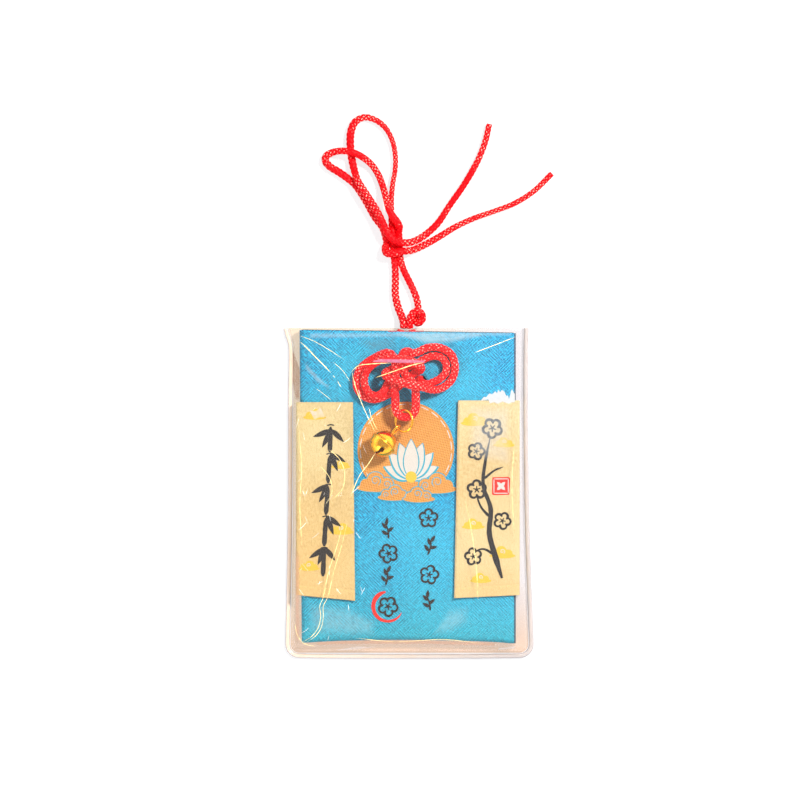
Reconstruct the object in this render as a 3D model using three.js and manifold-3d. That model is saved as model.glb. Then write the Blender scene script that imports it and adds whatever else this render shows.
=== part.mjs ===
// Amulet sachet: a woven pouch with a talisman inside, a wrap band, a tied cord and a small bell,
// all held in a clear sleeve that is open at the top.
// Millimetres. The sachet lies on its back: +X is right, +Y is up the pouch, +Z faces the viewer.
// The origin is the middle of the sleeve, on the surface that it lies on.
import * as THREE from "three";
import { mergeVertices } from "three/addons/utils/BufferGeometryUtils.js";
import Module from "manifold-3d";

const wasm = await Module();
wasm.setup();

// Clearances
const seatGap = 0.1;
const cutGap = 0.3;
const overrun = 1;

// Woven pouch
const pouchWidth = 49.4;
const pouchHeight = 72;
const pouchMiddle = -0.2;
const clothThickness = 0.35;
const pouchDepth = 2.9;
const pouchCornerRadius = 0.9;
const clothEdgeRound = 0.25;
const backClothMargin = 0.12;
// The corners of the pouch, anticlockwise from the lower left, as shares of half its sides.
const pouchCornerShares = [
  [-0.98, -0.956],
  [-0.04, -0.93],
  [1, -1],
  [1, 0.98],
  [-1, 1],
];

// Wrap band, a little wider than the pouch that it goes round
const bandRoom = 0.55;
const bandWidth = pouchWidth + 2 * bandRoom;
const bandThickness = 0.3;
const bandHeight = 45;
const bandFromMouth = 16.6;
const bandFlapLeft = 12.6;
const bandFlapRight = 13.8;
const bandBendRadius = 0.4;
const bandMiddle = -0.15;

// Clear sleeve, with room for the band at its sides and for the pouch at its mouth and foot
const sleeveSideRoom = 3.5;
const sleeveFootRoom = 3.45;
const mouthDrop = 0.45;
const sleeveWidth = bandWidth + 2 * sleeveSideRoom;
const sleeveHeight = pouchHeight + mouthDrop + sleeveFootRoom;
const pouchTop = sleeveHeight / 2 - mouthDrop;
const filmThickness = 0.3;
const beadWidth = 1.1;
const beadHeight = 0.95;
const beadRound = 0.25;
const sleeveCornerRadius = 3.2;
// Each row is a height, then the left and right edge, as shares of half the sleeve's sides.
const sleeveEdgeShares = [
  [1, -1, 0.96],
  [0.955, -0.985, 0.959],
  [0.9, -0.964, 0.957],
  [0.56, -0.964, 0.955],
  [-0.2, -0.968, 0.968],
  [-0.9, -0.985, 1],
];
// The front film rises from the bead as a wall, then runs as a tent over what the pouch carries.
const wallReach = 1.15;
const wallShares = [
  [0, 0],
  [0.28, 0.03],
  [0.46, 0.16],
  [0.54, 0.5],
  [0.64, 0.86],
  [1, 1],
];
const tentShares = [
  [0, 1],
  [0.2, 1],
  [0.38, 0.98],
  [0.52, 0.86],
  [0.75, 0.42],
  [0.92, 0.09],
  [1, 0],
];
const tentHeight = 6;
const tentFullFromMouth = 32.5;
const tentGoneFromMouth = 68.5;
const footReach = 2.2;

// Talisman inside the pouch
const cardSideRoom = 2.7;
const cardFootRoom = 3.2;
const cardFromMouth = 17.3;
const cardWidth = pouchWidth - 2 * cardSideRoom;
const cardHeight = pouchHeight - cardFromMouth - cardFootRoom;
const cardThickness = 1.3;
const cardCornerRadius = 2;
const slipWidth = 30;
const slipHeight = 46;
const slipThickness = 0.18;
const slipFromMouth = 20.5;

// Cord, with its places measured from the middle of the pouch's mouth, as the ring's and bell's are
const cordDiameter = 1.7;
const cordStep = 0.75;
const freeCordStep = 1.1;
const cordHoleRadius = 1.45;
const bendRadius = 2.35;
const bendPlace = [-0.69, -17.69];
const bendLift = 3.05;

// Ring, bell and clapper
const ringRadius = 2.5;
const ringWire = 0.5;
const ringTilt = 39.6;
const ringPlace = [-1.03, -20.88];
const ringOpening = 4;
const ringOpeningAt = -35;
const bellRadius = 3.1;
const bellWall = 0.35;
const bellPlace = [-5.82, -26.18];
const bellFlange = 0.22;
const bellFlangeThickness = 0.16;
const bellSeamGap = 0.05;
const bellSlotWidth = 0.6;
const bellSlotReach = 2.25;
const bellHoleRadius = 0.58;
const bellRoll = 53;
const bailWire = 0.5;
const bailLoopRadius = 0.85;
const bailSlack = 0.12;
const bailFoot = 0.42;
const bailOpening = 8.4;
const clapperRadius = 0.9;

// Fineness of the round forms
const cordSides = 8;
const wireSides = 6;
const pathFineness = 20;
const bendSteps = 6;
const ringSteps = 36;
const bailSteps = 22;
const bailArcSteps = 10;
const bellArcSteps = 8;
const bellTurnSteps = 24;
const clapperTurnSteps = 12;
const clapperArcSteps = 8;
const holeSides = 20;
const slotHoleSides = 16;
const cornerSteps = 6;
const sleeveCornerSteps = 6;
const softCornerSteps = 5;
const foldSteps = 4;
const filmRows = 14;
const filmColumns = 16;
const meldShare = 0.001;

// Heights of the layers, from the surface up
const bandBack = filmThickness + seatGap;
const backCloth = bandBack + bandThickness + seatGap;
const pouchInside = backCloth + clothThickness;
const clothTop = backCloth + pouchDepth;
const clothUnder = clothTop - clothThickness;
const flapUnder = clothTop + seatGap;
const flapTop = flapUnder + bandThickness;
const filmRim = filmThickness + seatGap + filmThickness / 2;
const wallTop = flapTop + cutGap + filmThickness / 2;

// The front cord's route: along, up the pouch, and out from the cloth.
// It leaves the mouth inside the pouch, comes out of the right hole and winds the knot.
const routeToBend = [
  [0.8, 0.1, -1.45], [1.2, -3.2, -1.45], [2, -6.7, -1.45], [2.4, -9.2, -1.45], [2.5, -10.7, -1.15],
  [2.6, -11.7, -0.3], [3.2, -12.3, 0.6], [4.4, -12.4, 1.05], [5.9, -11.9, 1.05], [7.5, -11, 1.05],
  [8.6, -9.6, 1.05], [8.6, -7.7, 1.05], [7.6, -6.4, 1.05], [5.8, -6, 1.05], [3.8, -6.4, 1.05],
  [1.7, -7.4, 1.05], [-0.3, -8.1, 1.05], [-2.4, -8.6, 1.05], [-4.1, -9.1, 1.15], [-5.1, -9.6, 2],
  [-5.4, -10.1, 3.05], [-5.1, -10.7, 4.2], [-4.1, -11.2, 5], [-2.6, -11.6, 5.1], [-1, -12.2, 5.1],
  [0.6, -12.7, 5.1], [2.2, -13, 4.8], [3.7, -13.3, 3.9], [5.1, -13.7, 2.8], [6.6, -13.7, 1.7],
  [8.3, -13, 1.1], [9.8, -11.6, 1.05], [10.6, -9.7, 1.05], [10.6, -7.5, 1.05], [9.7, -5.5, 1.05],
  [7.9, -4.3, 1.05], [6, -3.9, 1.05], [4, -4.2, 1.2], [2.3, -5, 1.9], [0.9, -5.3, 2.6],
  [-0.3, -4.9, 3], [-1.2, -5.3, 3.05], [-1.5, -6.2, 3.05], [-1.4, -7.1, 3.05], [-0.9, -8.3, 3.05],
  [0.1, -10.1, 3.05], [0.9, -12, 3.05], [1.5, -13.8, 3.05], [1.66, -15.6, 3.05],
];
const routeFromBend = [
  [-3.04, -15.6, 3.05], [-3.2, -13.6, 3.05], [-3.3, -11, 3.05], [-3.3, -8.7, 3.05], [-3.4, -6.9, 3.05],
  [-3.8, -5.7, 3], [-4.8, -5.2, 2.7], [-6.1, -5.5, 2.1], [-7.7, -6.3, 1.4], [-9.5, -7.4, 1.05],
  [-11.2, -9, 1.05], [-11.9, -11, 1.05], [-11.8, -13.3, 1.05], [-10.6, -15, 1.05], [-8.6, -15.9, 1.05],
  [-6.6, -15.7, 1.05], [-4.7, -14.8, 1.05], [-2.9, -13.5, 1.05], [-1.3, -12.1, 1.05],
  [0.3, -10.7, 1.05], [1.7, -9.7, 1.15], [2.7, -9.3, 2], [3, -8.7, 3.05], [2.6, -8.2, 4.2],
  [1.6, -7.6, 5], [0.1, -7.2, 5.1], [-1.5, -7, 5.1], [-3.3, -6.7, 5.1], [-5.1, -6.6, 4.9],
  [-6.8, -7.1, 4.1], [-8.4, -8.1, 3.2], [-9.7, -9.6, 2.5], [-10.2, -11.4, 2.2], [-9.9, -13.2, 2.4],
  [-8.8, -14.7, 2.9], [-7.4, -15.1, 3.1], [-6.1, -14.5, 3.05], [-5.3, -13.4, 2.7], [-4.8, -12.4, 1.7],
  [-4.3, -11.9, 0.6], [-4.1, -11.1, -0.5], [-4, -10, -1.3], [-3.8, -8.3, -1.45], [-3.3, -5.5, -1.45],
  [-2.4, -2.5, -1.45], [-1.7, 0.1, -1.45],
];
// Places of the two cord holes in the front cloth.
const cordHoles = [
  [2.75, -11.9], [-4.25, -11.5],
];
// The left strand outside the mouth: to the bow knot, round the tall loop and out as a tail.
const leftRoute = [
  [-1.7, 0.4, 2.25], [-1.5, 1.4, 2.05], [-1.3, 3, 1.3], [-1.7, 5.1, 0.95], [-2.5, 8, 0.95],
  [-2.9, 11.5, 0.95], [-3.2, 14.7, 0.95], [-3.4, 17.5, 0.95], [-3.5, 20, 0.95], [-3.7, 22.8, 0.95],
  [-3.9, 25.8, 0.95], [-4, 28.5, 0.95], [-3.9, 31, 0.95], [-3.6, 33.8, 0.95], [-3.1, 36.6, 0.95],
  [-3, 39.8, 0.95], [-3.7, 43.5, 0.95], [-5.4, 46.6, 0.95], [-7.8, 48.4, 0.95], [-10.2, 48.9, 0.95],
  [-12.2, 47.9, 0.95], [-13.2, 45.8, 0.95], [-13.4, 43.2, 0.95], [-13.2, 40.5, 0.95],
  [-12.6, 37.3, 1.3], [-11.7, 34.5, 2.6], [-10.1, 31.8, 2.8], [-8.5, 29.3, 2.8], [-7, 26.8, 2.8],
  [-5.9, 24.5, 2.85], [-4.8, 22.3, 2.9], [-3.3, 20.7, 2.85], [-1.5, 20.1, 2.95], [0.6, 20.2, 2.4],
  [3.3, 21.5, 1.3], [6.6, 24.4, 0.95], [9.5, 28.7, 0.95], [12.9, 33.6, 0.95], [15.9, 38.9, 0.95],
  [17.6, 43.2, 0.95], [18.6, 47.4, 0.95],
];
// The right strand: a curl at the mouth, the bow knot, the low loop over the tall one, and a tail.
const rightRoute = [
  [0.8, 0.4, 2.25], [0.6, 1.4, 2.5], [0.6, 2.6, 2.8], [0.9, 3.8, 3], [1.5, 4.7, 3.1], [2.6, 4.9, 3],
  [3.5, 4.3, 2.6], [3.8, 3.2, 2.1], [3.4, 2.2, 1.5], [2.5, 1.6, 1.05], [1.5, 2.1, 0.95],
  [1.2, 3.3, 0.95], [1.6, 4.8, 0.95], [1.8, 6.7, 0.95], [1.2, 9, 0.95], [0.1, 11.5, 0.95],
  [-0.8, 14, 0.95], [-1.4, 16.3, 0.95], [-1.4, 18.4, 0.95], [-1, 20.6, 0.95], [-0.9, 22.5, 1.1],
  [-1.2, 24, 1.8], [-2.2, 24.9, 2.6], [-3.5, 26, 2.9], [-4.5, 27.7, 2.85], [-5.1, 30.1, 2.4],
  [-5.8, 32.7, 1.3], [-6.8, 35.4, 0.95], [-8.3, 37.8, 1.2], [-10.5, 39.7, 2.1], [-13, 40.9, 2.85],
  [-15.6, 41.2, 2.2], [-17.6, 40.8, 1.3], [-18.9, 40, 0.95], [-19.1, 38.9, 0.95], [-18.1, 37.6, 0.95],
  [-16.3, 36.5, 0.95], [-14.4, 35.2, 0.95], [-12.4, 33.5, 0.95], [-10.8, 31.2, 0.95],
  [-9.2, 28.5, 0.95], [-7.7, 25.9, 0.95], [-6.5, 23.5, 0.95], [-5.9, 21.4, 0.95], [-6.1, 19.9, 0.95],
  [-5.9, 18.5, 1.4], [-4.8, 17.7, 2.5], [-3.3, 17.7, 2.95], [-1.4, 18.1, 2.9], [0.6, 18.3, 2.2],
  [3.1, 19.3, 1.2], [6.8, 21.3, 0.95], [10.9, 23.8, 0.95], [15.3, 25.8, 0.95], [19.9, 27.4, 0.95],
  [24.5, 29.2, 0.95], [28.9, 32, 0.95], [33, 36, 0.95],
];

const part = new THREE.Group();

const finishes = {
  film: { color: 0xf3ece6, roughness: 0.12, transparent: true, opacity: 0.35 },
  bead: { color: 0xf1e4de, roughness: 0.2 },
  brocade: { color: 0x2fb2d8, roughness: 0.75 },
  lining: { color: 0x1c2230, roughness: 0.9 },
  band: { color: 0xf0dca0, roughness: 0.7 },
  card: { color: 0xb9a88a, roughness: 0.95 },
  slip: { color: 0xf2e9c8, roughness: 0.9 },
  cord: { color: 0xe8182c, roughness: 0.6 },
  gilt: { color: 0xf0b93a, roughness: 0.2, metalness: 1 },
  steel: { color: 0xb0b4b8, roughness: 0.3, metalness: 1 },
};

function addMesh(name, geometry, finish, group = part) {
  const mesh = new THREE.Mesh(geometry, new THREE.MeshStandardMaterial(finishes[finish]));
  mesh.name = name;
  group.add(mesh);
  return mesh;
}

function degrees(angle) {
  return THREE.MathUtils.degToRad(angle);
}

// Reads a table of shares at a place between its rows.
function readTable(rows, at, column = 1) {
  const rising = rows[0][0] < rows[rows.length - 1][0] ? rows : [...rows].reverse();
  if (at <= rising[0][0]) return rising[0][column];
  for (let i = 1; i < rising.length; i++) {
    const [before, after] = [rising[i - 1], rising[i]];
    if (at <= after[0]) {
      const share = (at - before[0]) / (after[0] - before[0]);
      return before[column] + share * (after[column] - before[column]);
    }
  }
  return rising[rising.length - 1][column];
}

function toSolid(geometry) {
  const loose = geometry.index ? geometry.toNonIndexed() : geometry;
  const bare = new THREE.BufferGeometry().setAttribute("position", loose.getAttribute("position"));
  const merged = mergeVertices(bare, meldShare * filmThickness);
  const vertProperties = new Float32Array(merged.attributes.position.array);
  const triVerts = new Uint32Array(merged.index.array);
  return new wasm.Manifold(new wasm.Mesh({ numProp: 3, vertProperties, triVerts }));
}

function toGeometry(solid) {
  const mesh = solid.getMesh();
  const geometry = new THREE.BufferGeometry();
  geometry.setAttribute("position", new THREE.Float32BufferAttribute(mesh.vertProperties, 3));
  geometry.setIndex(new THREE.Uint32BufferAttribute(mesh.triVerts, 1));
  return geometry;
}

function plate(outline, low, high) {
  const settings = { depth: high - low, bevelEnabled: false, curveSegments: cornerSteps };
  return new THREE.ExtrudeGeometry(outline, settings).translate(0, 0, low);
}

// A folded sheet, drawn as its section and run down from its upper end.
function foldedSheet(section, height, top) {
  const settings = { depth: height, bevelEnabled: false, curveSegments: foldSteps };
  return new THREE.ExtrudeGeometry(section, settings).rotateX(Math.PI / 2).translate(0, top, 0);
}

// A plate whose edges are rounded over on both faces.
function softPlate(outline, low, high, round) {
  const settings = {
    depth: high - low - 2 * round,
    bevelSize: round,
    bevelThickness: round,
    bevelOffset: -round,
    bevelSegments: 2,
    curveSegments: softCornerSteps,
  };
  return new THREE.ExtrudeGeometry(outline, settings).translate(0, 0, low + round);
}

function roundedOutline(corners, radius) {
  const shape = new THREE.Shape();
  corners.forEach((corner, i) => {
    const before = corners[(i + corners.length - 1) % corners.length];
    const after = corners[(i + 1) % corners.length];
    const enter = corner.clone().add(before.clone().sub(corner).setLength(radius));
    const leave = corner.clone().add(after.clone().sub(corner).setLength(radius));
    if (i === 0) shape.moveTo(enter.x, enter.y);
    else shape.lineTo(enter.x, enter.y);
    shape.quadraticCurveTo(corner.x, corner.y, leave.x, leave.y);
  });
  shape.closePath();
  return shape;
}

function circleShape(radius, sides) {
  const shape = new THREE.Shape();
  for (let i = 0; i < sides; i++) {
    const turn = (2 * Math.PI * i) / sides;
    if (i === 0) shape.moveTo(radius * Math.cos(turn), radius * Math.sin(turn));
    else shape.lineTo(radius * Math.cos(turn), radius * Math.sin(turn));
  }
  shape.closePath();
  return shape;
}

function tube(points, diameter, sides, steps) {
  const path = new THREE.CatmullRomCurve3(points, false, "centripetal");
  path.arcLengthDivisions = pathFineness * steps;
  return new THREE.ExtrudeGeometry(circleShape(diameter / 2, sides), { extrudePath: path, steps });
}

function cordTube(points, step) {
  const path = new THREE.CatmullRomCurve3(points, false, "centripetal");
  return tube(points, cordDiameter, cordSides, Math.round(path.getLength() / step));
}

// Sleeve edges
function sleeveEdge(side, y) {
  const share = readTable(sleeveEdgeShares, y / (sleeveHeight / 2), side < 0 ? 1 : 2);
  return share * (sleeveWidth / 2);
}

// The sleeve's side at a height, moved in by an inset and rounded at the bottom corner.
function sleeveSide(side, y, inset) {
  const straight = sleeveEdge(side, y) - side * inset;
  const radius = sleeveCornerRadius - inset;
  const above = y - (-sleeveHeight / 2 + inset);
  if (above >= radius) return straight;
  const drop = radius - Math.max(above, 0);
  return straight - side * (radius - Math.sqrt(Math.max(radius * radius - drop * drop, 0)));
}

function sleeveLine(side, inset) {
  const bottom = -sleeveHeight / 2 + inset;
  const radius = sleeveCornerRadius - inset;
  const rows = sleeveEdgeShares.map((row) => (row[0] * sleeveHeight) / 2);
  const heights = rows.filter((y) => y > bottom + radius);
  for (let i = 0; i <= sleeveCornerSteps; i++) {
    const turn = ((Math.PI / 2) * i) / sleeveCornerSteps;
    heights.push(bottom + radius * (1 - Math.sin(turn)));
  }
  return heights.map((y) => new THREE.Vector2(sleeveSide(side, y, inset), y));
}

// The sleeve's edge from the upper left corner, round the foot, to the upper right corner.
function sleeveEdgeLine(inset) {
  return [...sleeveLine(-1, inset), ...sleeveLine(1, inset).reverse()];
}

function weldBead() {
  const outer = sleeveEdgeLine(beadRound);
  const inner = sleeveEdgeLine(beadWidth - beadRound).reverse();
  const mouth = sleeveHeight / 2 - beadRound;
  const line = [...outer, ...inner];
  const outline = new THREE.Shape(line.map((point) => point.setY(Math.min(point.y, mouth))));
  const settings = {
    depth: beadHeight - 2 * beadRound,
    bevelSize: beadRound,
    bevelThickness: beadRound,
    bevelSegments: 1,
  };
  return new THREE.ExtrudeGeometry(outline, settings).translate(0, 0, beadRound);
}

function backFilm() {
  return plate(new THREE.Shape(sleeveEdgeLine(beadWidth + seatGap)), 0, filmThickness);
}

// Height of the film's middle layer over the back film.
function filmHeight(fromSide, fromFoot, across, y) {
  const side = readTable(wallShares, fromSide / wallReach);
  const foot = readTable(wallShares, fromFoot / footReach);
  const fromMouth = pouchTop - y;
  const down = 1 - THREE.MathUtils.smoothstep(fromMouth, tentFullFromMouth, tentGoneFromMouth);
  const tent = tentHeight * readTable(tentShares, across) * down;
  return filmRim + side * foot * (wallTop - filmRim + tent);
}

// Stations along a line that crowd the wall at its ends.
function stations(length, reach, count, bothEnds) {
  const near = wallShares.map((row) => row[0] * reach);
  const far = bothEnds ? near.map((d) => length - d).reverse() : [length];
  const inner = [];
  const start = near[near.length - 1];
  const end = bothEnds ? length - start : length;
  for (let i = 1; i < count; i++) inner.push(start + ((end - start) * i) / count);
  return [...near, ...inner, ...far];
}

// A point of the front film's middle layer, by its distance along the sleeve's width and up its height.
function filmPoint(along, up) {
  const inset = beadWidth + cutGap;
  const width = sleeveWidth - 2 * inset;
  const half = width / 2;
  const y = inset + up - sleeveHeight / 2;
  const left = sleeveSide(-1, y, inset);
  const right = sleeveSide(1, y, inset);
  const straight = along < half ? Math.min(left + along, 0) : Math.max(right - width + along, 0);
  const squeezed = THREE.MathUtils.lerp(left, right, along / width);
  const x = up < sleeveCornerRadius ? squeezed : straight;
  const fromSide = Math.min(along, width - along);
  const across = THREE.MathUtils.clamp((half - fromSide) / (half - wallReach), 0, 1);
  return new THREE.Vector3(x, y, filmHeight(fromSide, up, across, y));
}

function frontFilm() {
  const inset = beadWidth + cutGap;
  const rows = stations(sleeveHeight - inset, footReach, filmRows, false);
  const columns = stations(sleeveWidth - 2 * inset, wallReach, filmColumns, true);
  const middle = rows.map((up) => columns.map((along) => filmPoint(along, up)));
  return sheetSolid(middle, filmThickness);
}

// A closed sheet of even thickness over a grid of middle points.
function sheetSolid(middle, thickness) {
  const rows = middle.length;
  const columns = middle[0].length;
  const inside = (value, count) => THREE.MathUtils.clamp(value, 0, count - 1);
  const at = (i, j) => middle[inside(i, rows)][inside(j, columns)];
  const positions = [];
  for (const side of [1, -1]) {
    for (let i = 0; i < rows; i++) {
      for (let j = 0; j < columns; j++) {
        const along = at(i, j + 1).clone().sub(at(i, j - 1));
        const up = at(i + 1, j).clone().sub(at(i - 1, j));
        const normal = along.cross(up).normalize();
        const point = at(i, j).clone().addScaledVector(normal, (side * thickness) / 2);
        positions.push(point.x, point.y, point.z);
      }
    }
  }
  const front = (i, j) => i * columns + j;
  const back = (i, j) => rows * columns + i * columns + j;
  const faces = [];
  const quad = (a, b, c, d) => faces.push(a, b, c, a, c, d);
  for (let i = 0; i + 1 < rows; i++) {
    for (let j = 0; j + 1 < columns; j++) {
      quad(front(i, j), front(i, j + 1), front(i + 1, j + 1), front(i + 1, j));
      quad(back(i, j), back(i + 1, j), back(i + 1, j + 1), back(i, j + 1));
    }
  }
  for (let j = 0; j + 1 < columns; j++) {
    quad(back(0, j), back(0, j + 1), front(0, j + 1), front(0, j));
    quad(front(rows - 1, j), front(rows - 1, j + 1), back(rows - 1, j + 1), back(rows - 1, j));
  }
  for (let i = 0; i + 1 < rows; i++) {
    quad(front(i, 0), front(i + 1, 0), back(i + 1, 0), back(i, 0));
    const last = columns - 1;
    quad(back(i, last), back(i + 1, last), front(i + 1, last), front(i, last));
  }
  const geometry = new THREE.BufferGeometry();
  geometry.setAttribute("position", new THREE.Float32BufferAttribute(positions, 3));
  geometry.setIndex(faces);
  return geometry;
}

function pouchOutline(margin) {
  const corners = pouchCornerShares.map(([across, up]) => {
    const x = across * (pouchWidth / 2) + Math.sign(across) * margin + pouchMiddle;
    const y = pouchTop - pouchHeight / 2 + up * (pouchHeight / 2) + Math.sign(up) * margin;
    return new THREE.Vector2(x, y);
  });
  return roundedOutline(corners, pouchCornerRadius);
}

function box(low, high) {
  const size = high.map((value, i) => value - low[i]);
  const middle = high.map((value, i) => (value + low[i]) / 2);
  return new THREE.BoxGeometry(...size).translate(...middle);
}

// The woven front: a shallow tray over the talisman, open at the mouth, with two holes for the cord.
function frontCloth() {
  const low = pouchInside + seatGap;
  let cloth = toSolid(softPlate(pouchOutline(0), low, clothTop, clothEdgeRound));
  cloth = cloth.subtract(toSolid(plate(pouchOutline(-clothThickness), low - overrun, clothUnder)));
  const mouthHalf = pouchWidth / 2 - 2 * pouchCornerRadius;
  const mouth = box(
    [-mouthHalf, pouchTop - pouchHeight / 2, low - overrun],
    [mouthHalf, pouchTop + overrun, clothUnder],
  );
  cloth = cloth.subtract(toSolid(mouth));
  for (const [x, fromMouth] of cordHoles) {
    const y = pouchTop + fromMouth;
    const hole = new THREE.CylinderGeometry(cordHoleRadius, cordHoleRadius, pouchDepth, holeSides);
    cloth = cloth.subtract(toSolid(hole.rotateX(Math.PI / 2).translate(x, y, clothTop)));
  }
  return toGeometry(cloth);
}

function backClothSheet() {
  return plate(pouchOutline(backClothMargin), backCloth, pouchInside);
}

// The band goes round the back, and its two ends turn onto the front as flaps.
function wrapBand() {
  const half = bandWidth / 2;
  const left = bandMiddle - half;
  const right = bandMiddle + half;
  const outer = [
    [left + bandFlapLeft, flapTop],
    [left, flapTop],
    [left, bandBack],
    [right, bandBack],
    [right, flapTop],
    [right - bandFlapRight, flapTop],
  ];
  const inner = [
    [right - bandFlapRight, flapUnder],
    [right - bandThickness, flapUnder],
    [right - bandThickness, bandBack + bandThickness],
    [left + bandThickness, bandBack + bandThickness],
    [left + bandThickness, flapUnder],
    [left + bandFlapLeft, flapUnder],
  ];
  const section = new THREE.Shape();
  addBentLine(section, outer, bandBendRadius, true);
  addBentLine(section, inner, bandBendRadius - bandThickness, false);
  section.closePath();
  return foldedSheet(section, bandHeight, pouchTop - bandFromMouth);
}

// Adds a line to a shape, with every corner but its ends rounded.
function addBentLine(shape, places, radius, first) {
  const corners = places.map(([x, y]) => new THREE.Vector2(x, y));
  corners.forEach((corner, i) => {
    if (i === 0 || i === corners.length - 1) {
      if (first && i === 0) shape.moveTo(corner.x, corner.y);
      else shape.lineTo(corner.x, corner.y);
      return;
    }
    const enter = corner.clone().add(corners[i - 1].clone().sub(corner).setLength(radius));
    const leave = corner.clone().add(corners[i + 1].clone().sub(corner).setLength(radius));
    shape.lineTo(enter.x, enter.y);
    shape.quadraticCurveTo(corner.x, corner.y, leave.x, leave.y);
  });
}

function rectangle(left, bottom, right, top) {
  const places = [[left, bottom], [right, bottom], [right, top], [left, top]];
  return places.map(([x, y]) => new THREE.Vector2(x, y));
}

function stiffenerCard() {
  const half = cardWidth / 2;
  const top = pouchTop - cardFromMouth;
  const corners = rectangle(pouchMiddle - half, top - cardHeight, pouchMiddle + half, top);
  const low = pouchInside + seatGap;
  return plate(roundedOutline(corners, cardCornerRadius), low, low + cardThickness);
}

// The paper talisman: one slip folded in two along its left side.
function foldedSlip() {
  const half = slipWidth / 2;
  const left = pouchMiddle - half;
  const right = pouchMiddle + half;
  const low = pouchInside + cardThickness + 2 * seatGap;
  const high = low + 2 * slipThickness + seatGap;
  const section = new THREE.Shape();
  section.moveTo(right, low);
  section.lineTo(right, low + slipThickness);
  section.lineTo(left + slipThickness, low + slipThickness);
  section.lineTo(left + slipThickness, high - slipThickness);
  section.lineTo(right, high - slipThickness);
  section.lineTo(right, high);
  section.lineTo(left + slipThickness, high);
  section.quadraticCurveTo(left, high, left, (low + high) / 2);
  section.quadraticCurveTo(left, low, left + slipThickness, low);
  section.closePath();
  return foldedSheet(section, slipHeight, pouchTop - slipFromMouth);
}

// The round bend at the foot of the knot, where the ring hangs.
function bendPoints() {
  const points = [];
  for (let i = 0; i <= bendSteps; i++) {
    const turn = (-Math.PI * i) / bendSteps;
    const x = bendPlace[0] + bendRadius * Math.cos(turn);
    points.push([x, bendPlace[1] + bendRadius * Math.sin(turn), bendLift]);
  }
  return points;
}

function knotCord() {
  const route = [...routeToBend, ...bendPoints(), ...routeFromBend];
  const points = route.map(([x, y, out]) => new THREE.Vector3(x, pouchTop + y, clothTop + out));
  return cordTube(points, cordStep);
}

function freeCord(route) {
  const points = route.map(([x, y, z]) => new THREE.Vector3(x, pouchTop + y, z));
  return cordTube(points, freeCordStep);
}

// The jump ring: a round wire with its ends almost closed.
function jumpRing() {
  const points = [];
  for (let i = 0; i <= ringSteps; i++) {
    const start = degrees(ringOpeningAt + ringOpening / 2);
    const turn = start + ((2 * Math.PI - degrees(ringOpening)) * i) / ringSteps;
    points.push(new THREE.Vector3(ringRadius * Math.cos(turn), ringRadius * Math.sin(turn), 0));
  }
  return tube(points, ringWire, wireSides, ringSteps);
}

function ringCentre() {
  return new THREE.Vector3(ringPlace[0], pouchTop + ringPlace[1], clothTop + bendLift);
}

function bellCentre() {
  const lift = clothTop + seatGap + bellRadius + bellFlange / 2;
  return new THREE.Vector3(bellPlace[0], pouchTop + bellPlace[1], lift);
}

// The place on the ring's wire that the bail hangs from: the one nearest to the bell.
function linkOnRing() {
  const toBell = bellCentre().sub(ringCentre());
  const tilt = degrees(ringTilt);
  const turn = Math.atan2(toBell.y, toBell.x / Math.cos(tilt));
  const flat = new THREE.Vector3(ringRadius * Math.cos(turn), ringRadius * Math.sin(turn), 0);
  const tangent = new THREE.Vector3(-Math.sin(turn), Math.cos(turn), 0);
  const spin = new THREE.Matrix4().makeRotationY(-tilt);
  return { place: flat.applyMatrix4(spin).add(ringCentre()), tangent: tangent.applyMatrix4(spin) };
}

// Half of the bell, as a thin bowl with a flange at its seam.
function bellBowl() {
  const seam = bellSeamGap / 2;
  const lip = seam + bellFlangeThickness;
  const inside = bellRadius - bellWall;
  const profile = [];
  const outerEnd = Math.asin(lip / bellRadius);
  for (let i = 0; i <= bellArcSteps; i++) {
    const rise = Math.PI / 2 + ((outerEnd - Math.PI / 2) * i) / bellArcSteps;
    profile.push(new THREE.Vector2(bellRadius * Math.cos(rise), bellRadius * Math.sin(rise)));
  }
  profile[0].x = 0;
  profile.push(new THREE.Vector2(bellRadius + bellFlange, lip));
  profile.push(new THREE.Vector2(bellRadius + bellFlange, seam));
  const innerStart = Math.asin(seam / inside);
  for (let i = 0; i <= bellArcSteps; i++) {
    const rise = innerStart + ((Math.PI / 2 - innerStart) * i) / bellArcSteps;
    profile.push(new THREE.Vector2(inside * Math.cos(rise), inside * Math.sin(rise)));
  }
  profile[profile.length - 1].x = 0;
  profile.reverse();
  return new THREE.LatheGeometry(profile, bellTurnSteps).rotateX(Math.PI / 2);
}

// The lower bowl has a slot across its end, with a round hole at each end of the slot.
function slottedBowl() {
  const depth = bellRadius + overrun;
  const slot = box([-bellSlotReach, -bellSlotWidth / 2, 0], [bellSlotReach, bellSlotWidth / 2, depth]);
  let bowl = toSolid(bellBowl()).subtract(toSolid(slot));
  for (const side of [-1, 1]) {
    const hole = new THREE.CylinderGeometry(bellHoleRadius, bellHoleRadius, depth, slotHoleSides);
    hole.rotateX(Math.PI / 2).translate(side * bellSlotReach, 0, depth / 2 + seatGap);
    bowl = bowl.subtract(toSolid(hole));
  }
  return toGeometry(bowl);
}

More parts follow.
